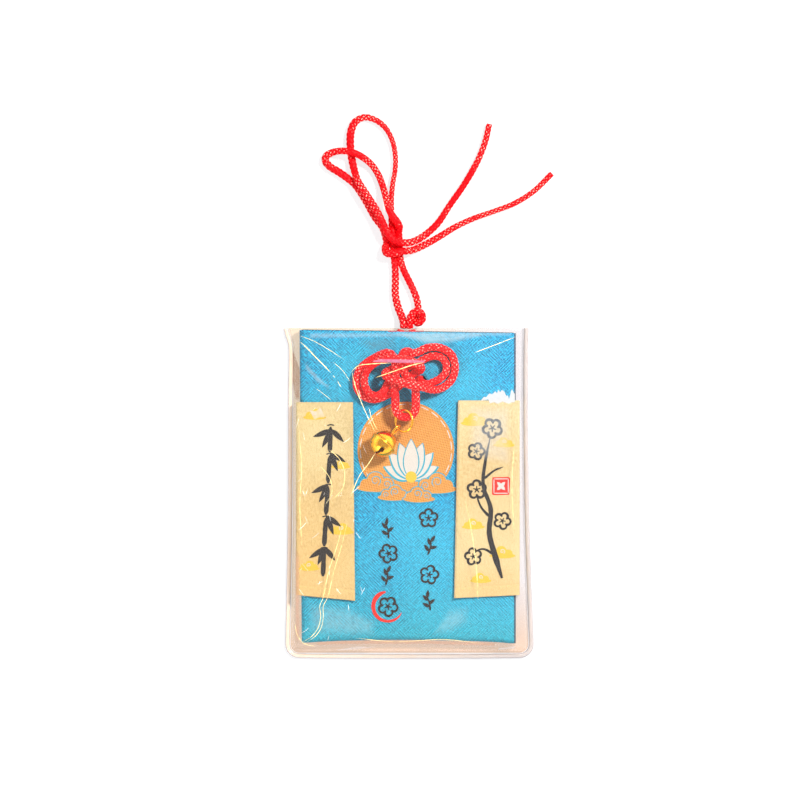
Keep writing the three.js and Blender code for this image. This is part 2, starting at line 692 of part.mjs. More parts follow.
// The bail: a wire loop that stands on the bell and holds the ring's wire at its far end.
function bail(reach) {
  const loop = reach + ringWire / 2 + bailWire / 2 + bailSlack - bailLoopRadius;
  const foot = bellRadius + bailWire / 2;
  const points = [new THREE.Vector3(0, -bailFoot, foot)];
  const past = degrees(bailOpening);
  for (let i = 0; i <= bailArcSteps; i++) {
    const turn = Math.PI + past - ((Math.PI + 2 * past) * i) / bailArcSteps;
    const rise = loop + bailLoopRadius * Math.sin(turn);
    points.push(new THREE.Vector3(0, bailLoopRadius * Math.cos(turn), rise));
  }
  points.push(new THREE.Vector3(0, bailFoot, foot));
  return tube(points, bailWire, wireSides, bailSteps);
}

// The ring hangs from the bend of the cord, turned about the pouch's long axis.
function addRing() {
  const ring = new THREE.Group();
  ring.position.copy(ringCentre());
  ring.rotation.y = -degrees(ringTilt);
  part.add(ring);
  addMesh("jump_ring", jumpRing(), "gilt", ring);
}

// The bell's own frame has its long axis from its middle to the ring's wire.
function addBell() {
  const bell = new THREE.Group();
  const link = linkOnRing();
  const axis = link.place.clone().sub(bellCentre());
  const reach = axis.length();
  axis.normalize();
  const across = link.tangent.clone().addScaledVector(axis, -link.tangent.dot(axis)).normalize();
  const third = axis.clone().cross(across);
  bell.quaternion.setFromRotationMatrix(new THREE.Matrix4().makeBasis(across, third, axis));
  bell.position.copy(bellCentre());
  part.add(bell);
  addMesh("bell_upper_shell", bellBowl(), "gilt", bell);
  const lowerShell = addMesh("bell_lower_shell", slottedBowl(), "gilt", bell);
  lowerShell.rotation.set(Math.PI, 0, degrees(bellRoll));
  addMesh("bell_bail", bail(reach), "gilt", bell);
}

// A loose ball that rests on the lower side of the bell.
function addClapper() {
  const ball = new THREE.SphereGeometry(clapperRadius, clapperTurnSteps, clapperArcSteps);
  const clapper = addMesh("bell_clapper", ball, "steel");
  clapper.position.copy(bellCentre());
  clapper.position.z -= bellRadius - bellWall - clapperRadius - seatGap;
}

addMesh("sleeve_back_film", backFilm(), "film");
addMesh("sleeve_front_film", frontFilm(), "film");
addMesh("sleeve_weld_bead", weldBead(), "bead");
addMesh("pouch_front_cloth", frontCloth(), "brocade");
addMesh("pouch_back_cloth", backClothSheet(), "lining");
addMesh("wrap_band", wrapBand(), "band");
addMesh("stiffener_card", stiffenerCard(), "card");
addMesh("paper_talisman", foldedSlip(), "slip");
addMesh("front_knot_cord", knotCord(), "cord");
addMesh("left_cord", freeCord(leftRoute), "cord");
addMesh("right_cord", freeCord(rightRoute), "cord");

addRing();
addBell();
addClapper();

export default part;
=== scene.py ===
"""Amulet sachet: a woven pouch with a wrap band, a tied red cord and a gold bell, in a clear sleeve.

Metres, in the part's own frame: +X right, +Y up the pouch, +Z out of the front.
"""

import math
import random

import bpy
import bmesh
from mathutils import Matrix, Vector, kdtree, noise


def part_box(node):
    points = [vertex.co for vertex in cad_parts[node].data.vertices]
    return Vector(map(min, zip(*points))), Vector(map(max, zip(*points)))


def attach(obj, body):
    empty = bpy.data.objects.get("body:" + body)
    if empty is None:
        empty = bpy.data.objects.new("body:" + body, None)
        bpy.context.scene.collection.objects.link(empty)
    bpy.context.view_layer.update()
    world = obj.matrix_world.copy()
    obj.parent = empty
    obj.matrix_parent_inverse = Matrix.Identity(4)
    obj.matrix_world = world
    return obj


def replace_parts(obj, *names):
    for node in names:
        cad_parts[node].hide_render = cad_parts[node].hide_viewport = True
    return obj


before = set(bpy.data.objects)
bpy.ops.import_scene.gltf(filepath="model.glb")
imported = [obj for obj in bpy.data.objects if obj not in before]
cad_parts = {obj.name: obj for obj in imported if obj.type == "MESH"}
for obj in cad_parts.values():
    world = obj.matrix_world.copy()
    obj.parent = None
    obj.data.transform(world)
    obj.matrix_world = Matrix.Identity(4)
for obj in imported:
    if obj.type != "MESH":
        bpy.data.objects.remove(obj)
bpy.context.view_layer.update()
MM = 0.001

# Sizes that the solids share
POUCH_LOW, POUCH_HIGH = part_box("pouch_front_cloth")
BAND_LOW, BAND_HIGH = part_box("wrap_band")
SLEEVE_LOW, SLEEVE_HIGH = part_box("sleeve_weld_bead")
MOUTH = POUCH_HIGH.y
CLOTH_TOP = POUCH_HIGH.z
FLAP_TOP = BAND_HIGH.z
CORD_DIAMETER = 1.7 * MM
KNOT_DIAMETER = 1.76 * MM
FILM_THICKNESS = 0.3 * MM

# The camera looks straight down on the sachet.
VIEW_WIDTH = 184 * MM
VIEW_CENTRE = (-1.955 * MM, 21.39 * MM)
CAMERA_HEIGHT = 500 * MM


def linked(name, data):
    """A new object of the scene."""
    piece = bpy.data.objects.new(name, data)
    bpy.context.scene.collection.objects.link(piece)
    return piece


def place_camera():
    data = bpy.data.cameras.new("camera")
    data.type = "ORTHO"
    data.ortho_scale = VIEW_WIDTH
    data.clip_start, data.clip_end = 10 * MM, 5000 * MM
    camera = linked("camera", data)
    camera.location = (*VIEW_CENTRE, CAMERA_HEIGHT)
    bpy.context.scene.camera = camera
    bpy.context.scene.view_settings.view_transform = "Standard"


place_camera()


# Colours and nodes

def linear(code):
    """A hex sRGB colour as linear RGBA."""
    values = [int(code[i:i + 2], 16) / 255 for i in (1, 3, 5)]
    return [v / 12.92 if v <= 0.04045 else ((v + 0.055) / 1.055) ** 2.4 for v in values] + [1.0]


class Val:
    """A node's output that takes part in sums as a number does."""

    def __init__(self, tree, socket):
        self.tree, self.socket = tree, socket

    def __add__(self, shade_tone):
        return self.tree.math("ADD", self, shade_tone)

    def __sub__(self, shade_tone):
        return self.tree.math("SUBTRACT", self, shade_tone)

    def __rsub__(self, shade_tone):
        return self.tree.math("SUBTRACT", shade_tone, self)

    def __mul__(self, shade_tone):
        return self.tree.math("MULTIPLY", self, shade_tone)

    def __truediv__(self, shade_tone):
        return self.tree.math("DIVIDE", self, shade_tone)


class Tree:
    """The node tree of a material or a world, with one short call per node."""

    def __init__(self, owner):
        owner.use_nodes = True
        self.owner = owner
        self.nodes, self.links = owner.node_tree.nodes, owner.node_tree.links
        self.nodes.clear()

    def put(self, socket, value):
        """Links an output to the input, or sets a number or a hex colour on it."""
        if isinstance(value, Val):
            self.links.new(value.socket, socket)
        else:
            socket.default_value = linear(value) if isinstance(value, str) else value

    def add(self, kind, *inputs, output=0, settings=None, **named):
        """A new node's output. Inputs go by place, None for one that is left alone, or by name."""
        node = self.nodes.new("ShaderNode" + kind)
        for key, value in (settings or {}).items():
            setattr(node, key, value)
        for socket, value in zip(node.inputs, inputs):
            if value is not None:
                self.put(socket, value)
        for key, value in named.items():
            self.put(node.inputs[key.replace("_", " ")], value)
        return Val(self, node.outputs[output])

    def finish(self, shader, kind="Material"):
        self.put(self.nodes.new("ShaderNodeOutput" + kind).inputs["Surface"], shader)
        return self.owner

    def math(self, operation, *inputs, clamp=False):
        return self.add("Math", *inputs, settings={"operation": operation, "use_clamp": clamp})

    def sine(self, value, period):
        return self.math("SINE", value * (2 * math.pi / period))

    def mix(self, share, a, b):
        """A blend of two colours."""
        return self.add("Mix", share, *[None] * 5, a, b, output=2, settings={"data_type": "RGBA"})

    def ramp(self, value, low, high):
        return self.add("MapRange", value, low, high)

    def split(self, vector):
        node = self.add("SeparateXYZ", vector).socket.node
        return [Val(self, output) for output in node.outputs]

    def place(self):
        """The object's own coordinates, which are the frame's metres."""
        return self.add("TexCoord", output="Object")

    def axes(self):
        return self.split(self.place())

    def side(self):
        """From 0 at the left to 1 at the right."""
        return self.ramp(self.axes()[0], -27 * MM, 27 * MM)

    def noise(self, size, detail=3.0, rough=0.55, place=None):
        """Noise whose blotches are about the given size in metres."""
        place = place or self.place()
        return self.add("TexNoise", Vector=place, Scale=1 / size, Detail=detail, Roughness=rough)

    def stretched(self, first, second, share):
        """Places whose second direction is drawn out."""
        return self.add("CombineXYZ", first, second * share)

    def attribute(self, name):
        return self.add("Attribute", output="Fac", settings={"attribute_name": name})

    def ray(self, kind):
        return self.add("LightPath", output=kind)

    def outer(self, share):
        """The share on an outer face, and nothing on an inner one."""
        return self.math("SUBTRACT", share, self.add("NewGeometry", output="Backfacing"), clamp=True)

    def bump(self, height, strength, distance):
        return self.add("Bump", Height=height, Strength=strength, Distance=distance)


def material(name):
    return Tree(bpy.data.materials.new(name))


# Materials

BRAID_STRANDS = 5


def woven_silk(name, light, dark, lozenge, rib, tint=None, rough=0.62, sheen=0.08, satin=0, dark_edge=None):
    """Jacquard cloth: twill lines that change direction, with float threads or satin's long floats.
    Its colour carries painted shade and highlight of the weave, and blotches of painted sheen.
    """
    t = material(name)
    x, y, _ = t.axes()
    rising, falling = x + y, x - y
    turn = t.ramp(t.noise(6 * MM, 2.0), 0.42, 0.58)
    lines = t.add("Mix", turn, None, t.sine(rising, lozenge), t.sine(falling, lozenge))
    lines = lines * t.ramp(t.noise(1.6 * MM, 2.0), 0.3, 0.62)
    ribs = t.sine(y, rib) * t.sine(x, rib * 1.3)
    uneven = t.noise(0.8 * MM, 4.0)
    if satin:
        floats = t.noise(0.42 * MM, 4.0, 0.7, t.stretched(x, y, 0.5))
    else:
        floats = t.noise(0.55 * MM, 3.0, 0.65, t.stretched(rising, falling, 0.4))
    relief = lines * (0.6 * (1 - satin)) + ribs * 0.3 + (floats - 0.5) * 3.2 + (uneven - 0.5) * 0.9
    # Painted shade and highlight: the colour is lighter where the weave stands up and darker where it sinks.
    colour = t.mix(t.ramp(relief, -0.8, 0.75), dark, light)
    if tint:
        foot, low, high, sheen_tone = tint
        colour = t.mix(t.ramp(y, low, high), t.mix(0.6, colour, foot), colour)
        # Painted sheen: large pale blotches, placed at random.
        colour = t.mix(t.ramp(t.noise(24 * MM, 1.0), 0.42, 0.7), colour, t.mix(0.45, colour, sheen_tone))
    if dark_edge:
        # Darker in a thin strip along the cloth's right edge, from just inside dark_edge.
        right_edge_strip = t.ramp(x, dark_edge - 0.32 * MM, dark_edge - 0.16 * MM) * 0.8
        colour = t.mix(right_edge_strip, colour, "#3a3038")
    return t.finish(t.add(
        "BsdfPrincipled", Base_Color=colour, Roughness=uneven * 0.25 + (rough - 0.12),
        Normal=t.bump(relief, 0.7, 0.12 * MM), Specular_IOR_Level=0.35,
        Sheen_Weight=sheen, Sheen_Roughness=0.4,
    ))


def braided_polyester(name):
    """Round braid of bright yarn: each yarn is a slanting grain, with painted shade where it dives and
    painted pale glints.
    It gives off a little red light of its own: a painted glow."""
    t = material(name)
    around, along, _ = t.split(t.add("UVMap", settings={"uv_map": "UVMap"}))
    around = around * BRAID_STRANDS
    first, second = around + along, around - along
    odd = t.math("FLOORED_MODULO", t.math("FLOOR", first) + t.math("FLOOR", second), 2.0)
    a, b = t.math("FRACT", first), t.math("FRACT", second)
    swing = odd * (b - a)
    own, across = (a + swing - 0.5) / 0.4, (b - swing - 0.5) / 0.17
    # Painted glints: pale highlight spots on the yarn, shown in scattered patches.
    patches = t.ramp(t.noise(0.55 * MM, 2.0), 0.42, 0.52) * t.ramp(t.noise(7 * MM), 0.42, 0.54)
    glint = t.ramp(own * own + across * across, 1.1, 0.5) * patches
    # Painted shade: darker red where the crown is low, where the yarn dives between its neighbours.
    crown_shade = t.mix(t.ramp(t.attribute("crown"), 0.1, 0.7), "#86000a", "#e6040f")
    return t.finish(t.add(
        "BsdfPrincipled", Base_Color=t.mix(glint, crown_shade, "#ffab9e"), Roughness=0.5, Specular_IOR_Level=0.12,
        Sheen_Weight=0.04, Sheen_Roughness=0.35, Sheen_Tint="#ff3a30",
        # Painted glow: the cord gives off a little red light of its own.
        Emission_Color="#ff0616", Emission_Strength=0.16,
    ))


def clear_vinyl(name, left, right, foot, haze, haze_share):
    """Calendered PVC film: clear, with a wet gloss by Fresnel, a slow ripple and a faint milky haze."""
    t = material(name)
    # A faint tint of the film's own, with painted reflection in it: warm at the left and at the foot, grey
    # at the right.
    tone = t.mix(t.ramp(t.axes()[1], -20 * MM, -37 * MM), t.mix(t.side(), left, right), foot)
    body = t.add("MixShader", haze_share, t.add("BsdfTransparent", tone), t.add("BsdfDiffuse", haze))
    ripple = t.bump(t.noise(5 * MM, 2.0), 0.25, 0.5 * MM)
    gloss = t.add("BsdfGlossy", Color="#ffffff", Roughness=0.07, Normal=ripple)
    mirrored = t.add("Fresnel", IOR=1.5, Normal=ripple) * t.outer(0.55)
    return t.finish(t.add("MixShader", mirrored, body, gloss))


def glinting_vinyl(name, tone):
    """A painted highlight along a crease or scratch of the PVC: a thin pale line that glows and breaks up.
    """
    t = material(name)
    breaks = t.ramp(t.noise(1.6 * MM, 3.0), 0.36, 0.58)
    # Painted highlight: the line gives off light in its tone.
    white = t.add(
        "BsdfPrincipled", Base_Color=tone, Roughness=0.2, Specular_IOR_Level=0.8,
        Emission_Color=tone, Emission_Strength=0.5,
    )
    return t.finish(t.add("MixShader", breaks * 0.5 + 0.4, t.add("BsdfTransparent"), white))


def veiled_vinyl(name, tone, share, gaps=0.35):
    """A painted reflection on the film: a thin sheet that glows in the tone of what the film would mirror,
    breaks up, fades at its rim and casts no shadow."""
    t = material(name)
    broken = t.ramp(t.noise(1.1 * MM, 3.0), 0.3, 0.6) * gaps + (1 - gaps)
    amount = t.attribute("fade") * broken * (t.outer(share) * (1.0 - t.ray("Is Shadow Ray")))
    return t.finish(t.add("MixShader", amount, t.add("BsdfTransparent"), t.add("Emission", tone, 1.0)))


def welded_vinyl(name):
    """The welded edge: milky, with a wet gloss; painted reflection makes it warm at the left and grey at the
    right.
    Painted shade darkens its steep sides, and a painted glow, stronger at the left, makes it give off a
    little light."""
    t = material(name)
    side = t.side()
    # Painted reflection: warm at the left, grey at the right.
    clear, cloudy = t.mix(side, "#ecd6be", "#c4bcb8"), t.mix(side, "#ece0d4", "#cac2c0")
    tone = t.mix(t.ramp(t.noise(3 * MM), 0.3, 0.9), clear, cloudy)
    # Painted shade: darker where the face turns away from upward, on the bead's steep sides.
    upward = t.split(t.add("NewGeometry", output="Normal"))[2]
    tone = t.mix(t.ramp(upward, 0.5, 0.85), "#b0a6ac", tone)
    milk = t.add(
        "BsdfPrincipled", Base_Color=tone, Roughness=0.16, Normal=t.bump(t.noise(1.4 * MM), 0.4, 0.2 * MM),
        Specular_IOR_Level=0.6, Coat_Weight=0.4, Coat_Roughness=0.08,
        # Painted glow, stronger at the left.
        Emission_Color=tone, Emission_Strength=0.22 - side * 0.14,
        Subsurface_Weight=0.3, Subsurface_Radius=(0.8 * MM, 0.6 * MM, 0.5 * MM),
    )
    return t.finish(t.add("MixShader", 0.8, t.add("BsdfTransparent", "#fff4ea"), milk))


def gilt_plating(name, roughness=0.13):
    """Bright gold-coloured plating on stamped brass: mirror-like, with faint dents and cloudy spots."""
    t = material(name)
    clouds = t.noise(1.5 * MM, 3.0)
    return t.finish(t.add(
        "BsdfPrincipled", Base_Color=t.mix(t.ramp(clouds, 0.35, 0.75), "#ffc338", "#f0a226"), Metallic=1.0,
        Roughness=clouds * 0.12 + (roughness - 0.05), Normal=t.bump(t.noise(0.8 * MM, 2.0), 0.12, 0.1 * MM),
    ))


def drawn_steel(name):
    """A plain drawn steel ball, dulled by tumbling."""
    t = material(name)
    spots = t.noise(0.4 * MM, 2.0)
    tone = t.mix(spots, "#8f9396", "#c3c7ca")
    return t.finish(t.add("BsdfPrincipled", Base_Color=tone, Metallic=1.0, Roughness=spots * 0.2 + 0.25))


def fibre_board(name, light, dark, grain):
    """Pressed paper stock: short fibres in two close tones."""
    t = material(name)
    fibres = t.noise(grain, 5.0, 0.7)
    tone = t.mix(t.ramp(fibres, 0.3, 0.7), dark, light)
    normal = t.bump(fibres, 0.3, 0.05 * MM)
    return t.finish(t.add("BsdfPrincipled", Base_Color=tone, Roughness=0.9, Normal=normal))


def woven_ink(name, tone, shade_tone, pitch=0.42 * MM):
    """A motif woven in coloured weft: the same ribs as the ground show through it, with painted shade
    between them and painted highlight on them.
    """
    t = material(name)
    x, y, _ = t.axes()
    relief = t.sine(x + y, pitch) * t.sine(y - x, 0.7 * pitch) + t.noise(0.7 * MM) * 0.8
    # Painted shade and highlight: the colour darkens where the ribs sink and lightens where they stand up.
    return t.finish(t.add(
        "BsdfPrincipled", Base_Color=t.mix(t.ramp(relief, -0.4, 1.1), shade_tone, tone), Roughness=0.6,
        Normal=t.bump(relief, 0.5, 0.06 * MM), Sheen_Weight=0.1, Specular_IOR_Level=0.3,
    ))


def studio_floor(name):
    """A matt paper sweep that the eye takes as white, like a lit light table."""
    t = material(name)
    paper = t.add("BsdfDiffuse", t.mix(t.noise(30 * MM), "#868686", "#8a8a8a"))
    seen = t.math("MAXIMUM", t.ray("Is Camera Ray"), t.ray("Is Transmission Ray"))
    seen = t.math("MAXIMUM", seen, t.ray("Is Glossy Ray"))
    return t.finish(t.add("AddShader", paper, t.add("Emission", "#ffffff", seen * 0.77)))


M = {
    "cord": braided_polyester("braided_polyester_cord"),
    "brocade": woven_silk(
        "jacquard_woven_brocade", "#1cb3e0", "#03507a", 0.78 * MM, 0.5 * MM,
        tint=("#35a6a6", -44 * MM, -12 * MM, "#3fb4cc"), dark_edge=POUCH_HIGH.x,
    ),
    "lining": woven_silk(
        "plain_woven_lining", "#27324a", "#0f1626", 0.5 * MM, 0.25 * MM, rough=0.8, sheen=0.1,
    ),
    "band": woven_silk(
        "satin_woven_band", "#d9c594", "#b3965e", 0.5 * MM, 0.22 * MM,
        tint=("#d9ae66", -30 * MM, 16 * MM, "#d8cfa2"), satin=0.8,
    ),
    "film": clear_vinyl("calendered_vinyl_film", "#fffefc", "#fefeff", "#fffdfb", "#fff6ea", 0.006),
    "back": clear_vinyl("tinted_vinyl_film", "#fff6ea", "#fbfafc", "#fdeee2", "#ded6d0", 0.12),
    "bead": welded_vinyl("welded_vinyl_edge"),
    # Painted highlights on the film's creases and scratches.
    "crease": glinting_vinyl("painted_crease_glint", "#ffeaa4"),
    "scratch": glinting_vinyl("scratch_glint_vinyl", "#fffdf6"),
    # Painted reflections and glare on the film, as glowing veils.
    "glare": veiled_vinyl("vinyl_facet_white", "#ffffff", 0.97, 0.06),
    "pale_reflection": veiled_vinyl("vinyl_facet_pale", "#f4fbff", 0.3),
    "faint_reflection": veiled_vinyl("vinyl_facet_faint", "#e9f3f2", 0.2),
    "rose_glint": veiled_vinyl("vinyl_facet_rose", "#fff3ee", 0.6),
    "lilac": veiled_vinyl("vinyl_facet_lilac", "#eebbe6", 0.62),
    # The haze look is a painted reflection, a glowing veil, not haze in the film.
    "haze": veiled_vinyl("vinyl_facet_cyan_reflection", "#e0f5fb", 0.55),
    "grey_reflection": veiled_vinyl("vinyl_facet_grey", "#7f9ba3", 0.4),
    "tan": veiled_vinyl("vinyl_facet_tan", "#a87c62", 0.62),
    "blush": veiled_vinyl("vinyl_facet_red", "#f0605a", 0.75),
    "salmon": veiled_vinyl("vinyl_facet_salmon", "#f0b596", 0.6),
    "gilt": gilt_plating("stamped_gilt_plating"),
    "wire": gilt_plating("drawn_gilt_wire", 0.17),
    "steel": drawn_steel("tumbled_steel"),
    "card": fibre_board("pressed_grey_board", "#b9ad93", "#94876c", 0.8 * MM),
    "slip": fibre_board("thin_mulberry_paper", "#f5edd2", "#e0d3a8", 1.4 * MM),
    "black": woven_ink("ink_black_weft", "#241f1e", "#080606"),
    "orange": woven_ink("apricot_weft", "#d89c4e", "#a86722", pitch=0.95 * MM),
    "ivory": woven_ink("ivory_weft", "#d2cfc9", "#b8b4aa"),
    "blue": woven_ink("teal_weft", "#35a8c0", "#1f87a0"),
    "red": woven_ink("vermilion_weft", "#ee2a1e", "#c41a14"),
    "yellow": woven_ink("maize_weft", "#dfc044", "#c49f2e"),
    "thread": woven_ink("cream_sewing_thread", "#e9cf90", "#c6a25c"),
    "floor": studio_floor("matt_paper_sweep"),
}


# Cord routes: across, up from the pouch's mouth, and height, in millimetres.
# The knot's heights are over the cloth and the free strands' over the surface.
# A place that gives no height rests on what is under it.
KNOT_REST = 1.05
STRAND_REST = 0.95
KNOT_IN = [
    (0.8, 0.1, -1.45), (1.2, -3.2, -1.45), (2, -6.7, -1.45), (2.4, -9.2, -1.45), (2.5, -10.7, -1.15),
    (2.6, -11.5, 0), (3, -12.1, 0.9), (4.4, -12.4), (5.9, -11.9), (7.5, -11), (8.6, -9.6), (8.6, -7.7),
    (7.6, -6.4), (5.8, -6), (3.8, -6.6), (1.7, -7.8), (-0.3, -8.5), (-2.4, -8.6), (-4.1, -9.1, 1.15),
    (-5.1, -9.6, 2), (-5.4, -10.1, 3.05), (-5.1, -10.7, 4.2), (-4.1, -11.2, 5), (-2.6, -11.6, 5.1),
    (-1, -12.2, 5.1), (0.6, -12.7, 5.1), (2.2, -13, 4.8), (3.7, -13.3, 3.9), (5.1, -13.7, 2.8),
    (6.6, -13.7, 1.7), (8.3, -13, 1.1), (9.8, -11.6), (10.6, -9.7), (10.6, -7.5), (9.7, -5.5), (7.9, -4.3),
    (6, -3.9), (4, -4.2, 1.2), (2.3, -5, 1.9), (0.9, -5.3, 2.6), (-0.3, -4.9, 3), (-1.2, -5.3, 3.05),
    (-1.5, -6.2, 3.05), (-1.4, -7.1, 3.05), (-1.4, -8.3, 3.05), (-0.8, -10.1, 3.05), (0.8, -11.9, 3.05),
    (1.6, -13.8, 3.05), (1.66, -15.6, 3.05),
]
KNOT_OUT = [
    (-3.04, -15.6, 3.05), (-3.2, -13.6, 3.05), (-3, -11, 3.05), (-2.9, -8.7, 3.05), (-3.3, -6.9, 3.05),
    (-3.8, -5.7, 3), (-4.8, -5.2, 2.7), (-6.1, -5.5, 2.1), (-7.7, -6.3, 1.4), (-9.5, -7.4), (-11.2, -9),
    (-11.9, -11), (-11.8, -13.3), (-10.6, -15), (-8.6, -15.9), (-6.6, -15.7), (-4.7, -14.8), (-2.9, -13.5),
    (-1.3, -12.1), (0.3, -10.7), (1.7, -9.7, 1.15), (2.7, -9.3, 2), (3, -8.7, 3.05), (2.6, -8.2, 4.2),
    (1.6, -7.6, 5), (0.1, -6.9, 5.1), (-1.5, -6.7, 5.1), (-3.3, -6.5, 5.1), (-5.1, -6.6, 4.9),
    (-6.8, -7.1, 4.1), (-8.4, -8.1, 3.2), (-9.7, -9.6, 2.5), (-10.2, -11.4, 2.2), (-9.9, -13.2, 2.4),
    (-8.8, -14.7, 2.9), (-7.4, -15.1, 3.1), (-6.1, -14.5, 3.05), (-5.3, -13.4, 2.7), (-4.8, -12.4, 1.7),
    (-4.3, -11.9, 0.6), (-4.1, -11.1, -0.5), (-4, -10, -1.3), (-3.8, -8.3, -1.45), (-3.3, -5.5, -1.45),
    (-2.4, -2.5, -1.45), (-1.7, 0.1, -1.45),
]
LEFT_ROUTE = [
    (-1.15, 0.4, 2.25), (-1.1, 1.4, 2.05), (-1.5, 3, 1.3), (-2.35, 5.1), (-3, 8), (-3, 11.5), (-3.1, 14.7),
    (-3.4, 17.5), (-3.5, 20), (-3.7, 22.8), (-3.9, 25.8), (-4, 28.5), (-3.9, 31), (-3.6, 33.8), (-3.1, 36.6),
    (-3, 39.8), (-3.7, 43.5), (-5.4, 46.6), (-7.8, 48.4), (-10.2, 48.9), (-12.2, 47.9), (-13.2, 45.8),
    (-13.4, 43.2), (-13.2, 40.5), (-12.6, 37.3, 1.3), (-11.7, 34.5, 2.6), (-10.1, 31.8, 2.8),
    (-8.5, 29.3, 2.8), (-7, 26.8, 2.8), (-5.9, 24.5, 2.85), (-4.8, 22.3, 2.9), (-3.3, 20.7, 2.85),
    (-1.5, 20.1, 2.95), (0.6, 20.2, 2.4), (3.3, 21.5, 1.3), (6.6, 24.4), (9.5, 28.7), (12.9, 33.6),
    (15.9, 38.9), (17.6, 43.2), (18.6, 47.4),
]
RIGHT_ROUTE = [
    (0.4, 0.4, 2.25), (0.2, 1.4, 2.5), (0.35, 2.6, 2.8), (0.85, 3.7, 3), (1.6, 4.3, 3.1), (2.5, 4.2, 3),
    (3.1, 3.6, 2.7), (3.25, 2.7, 2.4), (2.8, 1.9, 2.2), (2.1, 1.6, 1.9), (1.6, 1.95, 1.5), (1.6, 2.7, 1.15),
    (1.95, 3.7), (2.2, 5), (1.95, 6.9), (1.2, 9), (0, 11.5), (-1.2, 14), (-1.85, 16.3), (-2, 18.4),
    (-2.1, 20.6), (-2.3, 22.4, 1.1), (-2.15, 23.7, 1.8), (-2.65, 24.9, 2.6), (-3.5, 26, 2.9),
    (-4.5, 27.7, 2.85), (-5.1, 30.1, 2.4), (-5.8, 32.7, 1.3), (-6.8, 35.4), (-8.3, 37.8, 1.2),
    (-10.5, 39.7, 2.1), (-13, 40.9, 2.85), (-15.6, 41.2, 2.2), (-17.6, 40.8, 1.3), (-18.9, 40),
    (-19.1, 38.9), (-18.1, 37.6), (-16.3, 36.5), (-14.4, 35.2), (-12.4, 33.5), (-10.8, 31.2), (-9.2, 28.5),
    (-7.7, 25.9), (-5.9, 23.5), (-5.2, 21.4), (-4.95, 19.9), (-5.3, 18.7, 1.3), (-4.9, 17.7, 2.4),
    (-3.4, 17.6, 2.95), (-1.4, 18.1, 2.9), (0.6, 18.3, 2.2), (3.1, 19.3, 1.2), (6.8, 21.3), (10.9, 23.8),
    (15.3, 25.8), (19.9, 27.4), (24.5, 29.2), (28.9, 32), (33, 36),
]
# How wide the knot and the free strands are along their length, as a share of the cord's diameter.
KNOT_WIDTHS = [(0, 1), (0.39, 1.02), (0.44, 1.08), (0.54, 1.08), (0.59, 1.02), (1, 1)]
LEFT_WIDTHS = [
    (0, 1.04), (0.08, 1), (0.14, 0.92), (0.19, 1), (0.23, 0.8), (0.29, 0.66), (0.37, 0.7), (0.41, 0.82),
    (0.46, 1.06), (0.51, 1.06), (0.56, 0.95), (0.62, 1.06), (0.69, 1), (0.76, 0.98), (0.84, 0.86),
    (0.91, 0.88), (1, 0.8),
]
RIGHT_WIDTHS = [
    (0, 0.98), (0.12, 0.94), (0.2, 0.92), (0.25, 1.06), (0.29, 0.9), (0.37, 0.92), (0.44, 0.95),
    (0.475, 1.06), (0.51, 1.05), (0.56, 0.92), (0.62, 1), (0.67, 1.08), (0.7, 1), (0.76, 0.95), (0.82, 0.8),
    (0.88, 0.72), (0.95, 0.74), (1, 0.78),
]
BEND_PLACE = (-0.69, -17.69)
BEND_RADIUS = 2.35
BEND_LIFT = 3.05
BEND_STEPS = 6
LEFT_LENGTH = 123.4 * MM
RIGHT_LENGTH = 135.3 * MM


# Mesh helpers

PATH_PARTS = 24


def shown(name, mesh, look, body):
    """A mesh piece that rides on a body and takes its finish from the material of its look."""
    mesh.materials.append(M[look])
    piece = linked(name, mesh)
    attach(piece, body)
    return piece


def new_piece(name, points, faces, look, body, slot):
    mesh = bpy.data.meshes.new(name)
    mesh.from_pydata([tuple(p) for p in points], [], faces)
    mesh.validate()
    mesh.shade_smooth()
    return shown(name, mesh, look, body)


def mesh_of(name, work):
    """A mesh from a working mesh, which is then done with."""
    mesh = bpy.data.meshes.new(name)
    work.to_mesh(mesh)
    work.free()
    return mesh


def lerp(a, b, share):
    return a + (b - a) * share


def arc(x, y, radius, start, sweep, count):
    """Even points of an arc, with its angles in degrees."""
    turns = [math.radians(start + sweep * i / count) for i in range(count + 1)]
    return [(x + radius * math.cos(t), y + radius * math.sin(t)) for t in turns]


def smoothstep(value, low, high):
    share = min(1.0, max(0.0, (value - low) / (high - low)))
    return share * share * (3 - 2 * share)


def read_table(rows, at, column=1):
    if at <= rows[0][0]:
        return rows[0][column]
    for before, after in zip(rows, rows[1:]):
        if at <= after[0]:
            return lerp(before[column], after[column], (at - before[0]) / (after[0] - before[0]))
    return rows[-1][column]


def spline_point(p0, p1, p2, p3, share):
    """A point between p1 and p2 on a centripetal spline."""
    knots = [0.0]
    for a, b in ((p0, p1), (p1, p2), (p2, p3)):
        knots.append(knots[-1] + max((b - a).length ** 0.5, 1e-6))
    t = lerp(knots[1], knots[2], share)

    def blend(a, b, start, end):
        return a * ((end - t) / (end - start)) + b * ((t - start) / (end - start))

    a1, a2, a3 = blend(p0, p1, *knots[0:2]), blend(p1, p2, *knots[1:3]), blend(p2, p3, *knots[2:4])
    b1, b2 = blend(a1, a2, knots[0], knots[2]), blend(a2, a3, knots[1], knots[3])
    return blend(b1, b2, knots[1], knots[2])


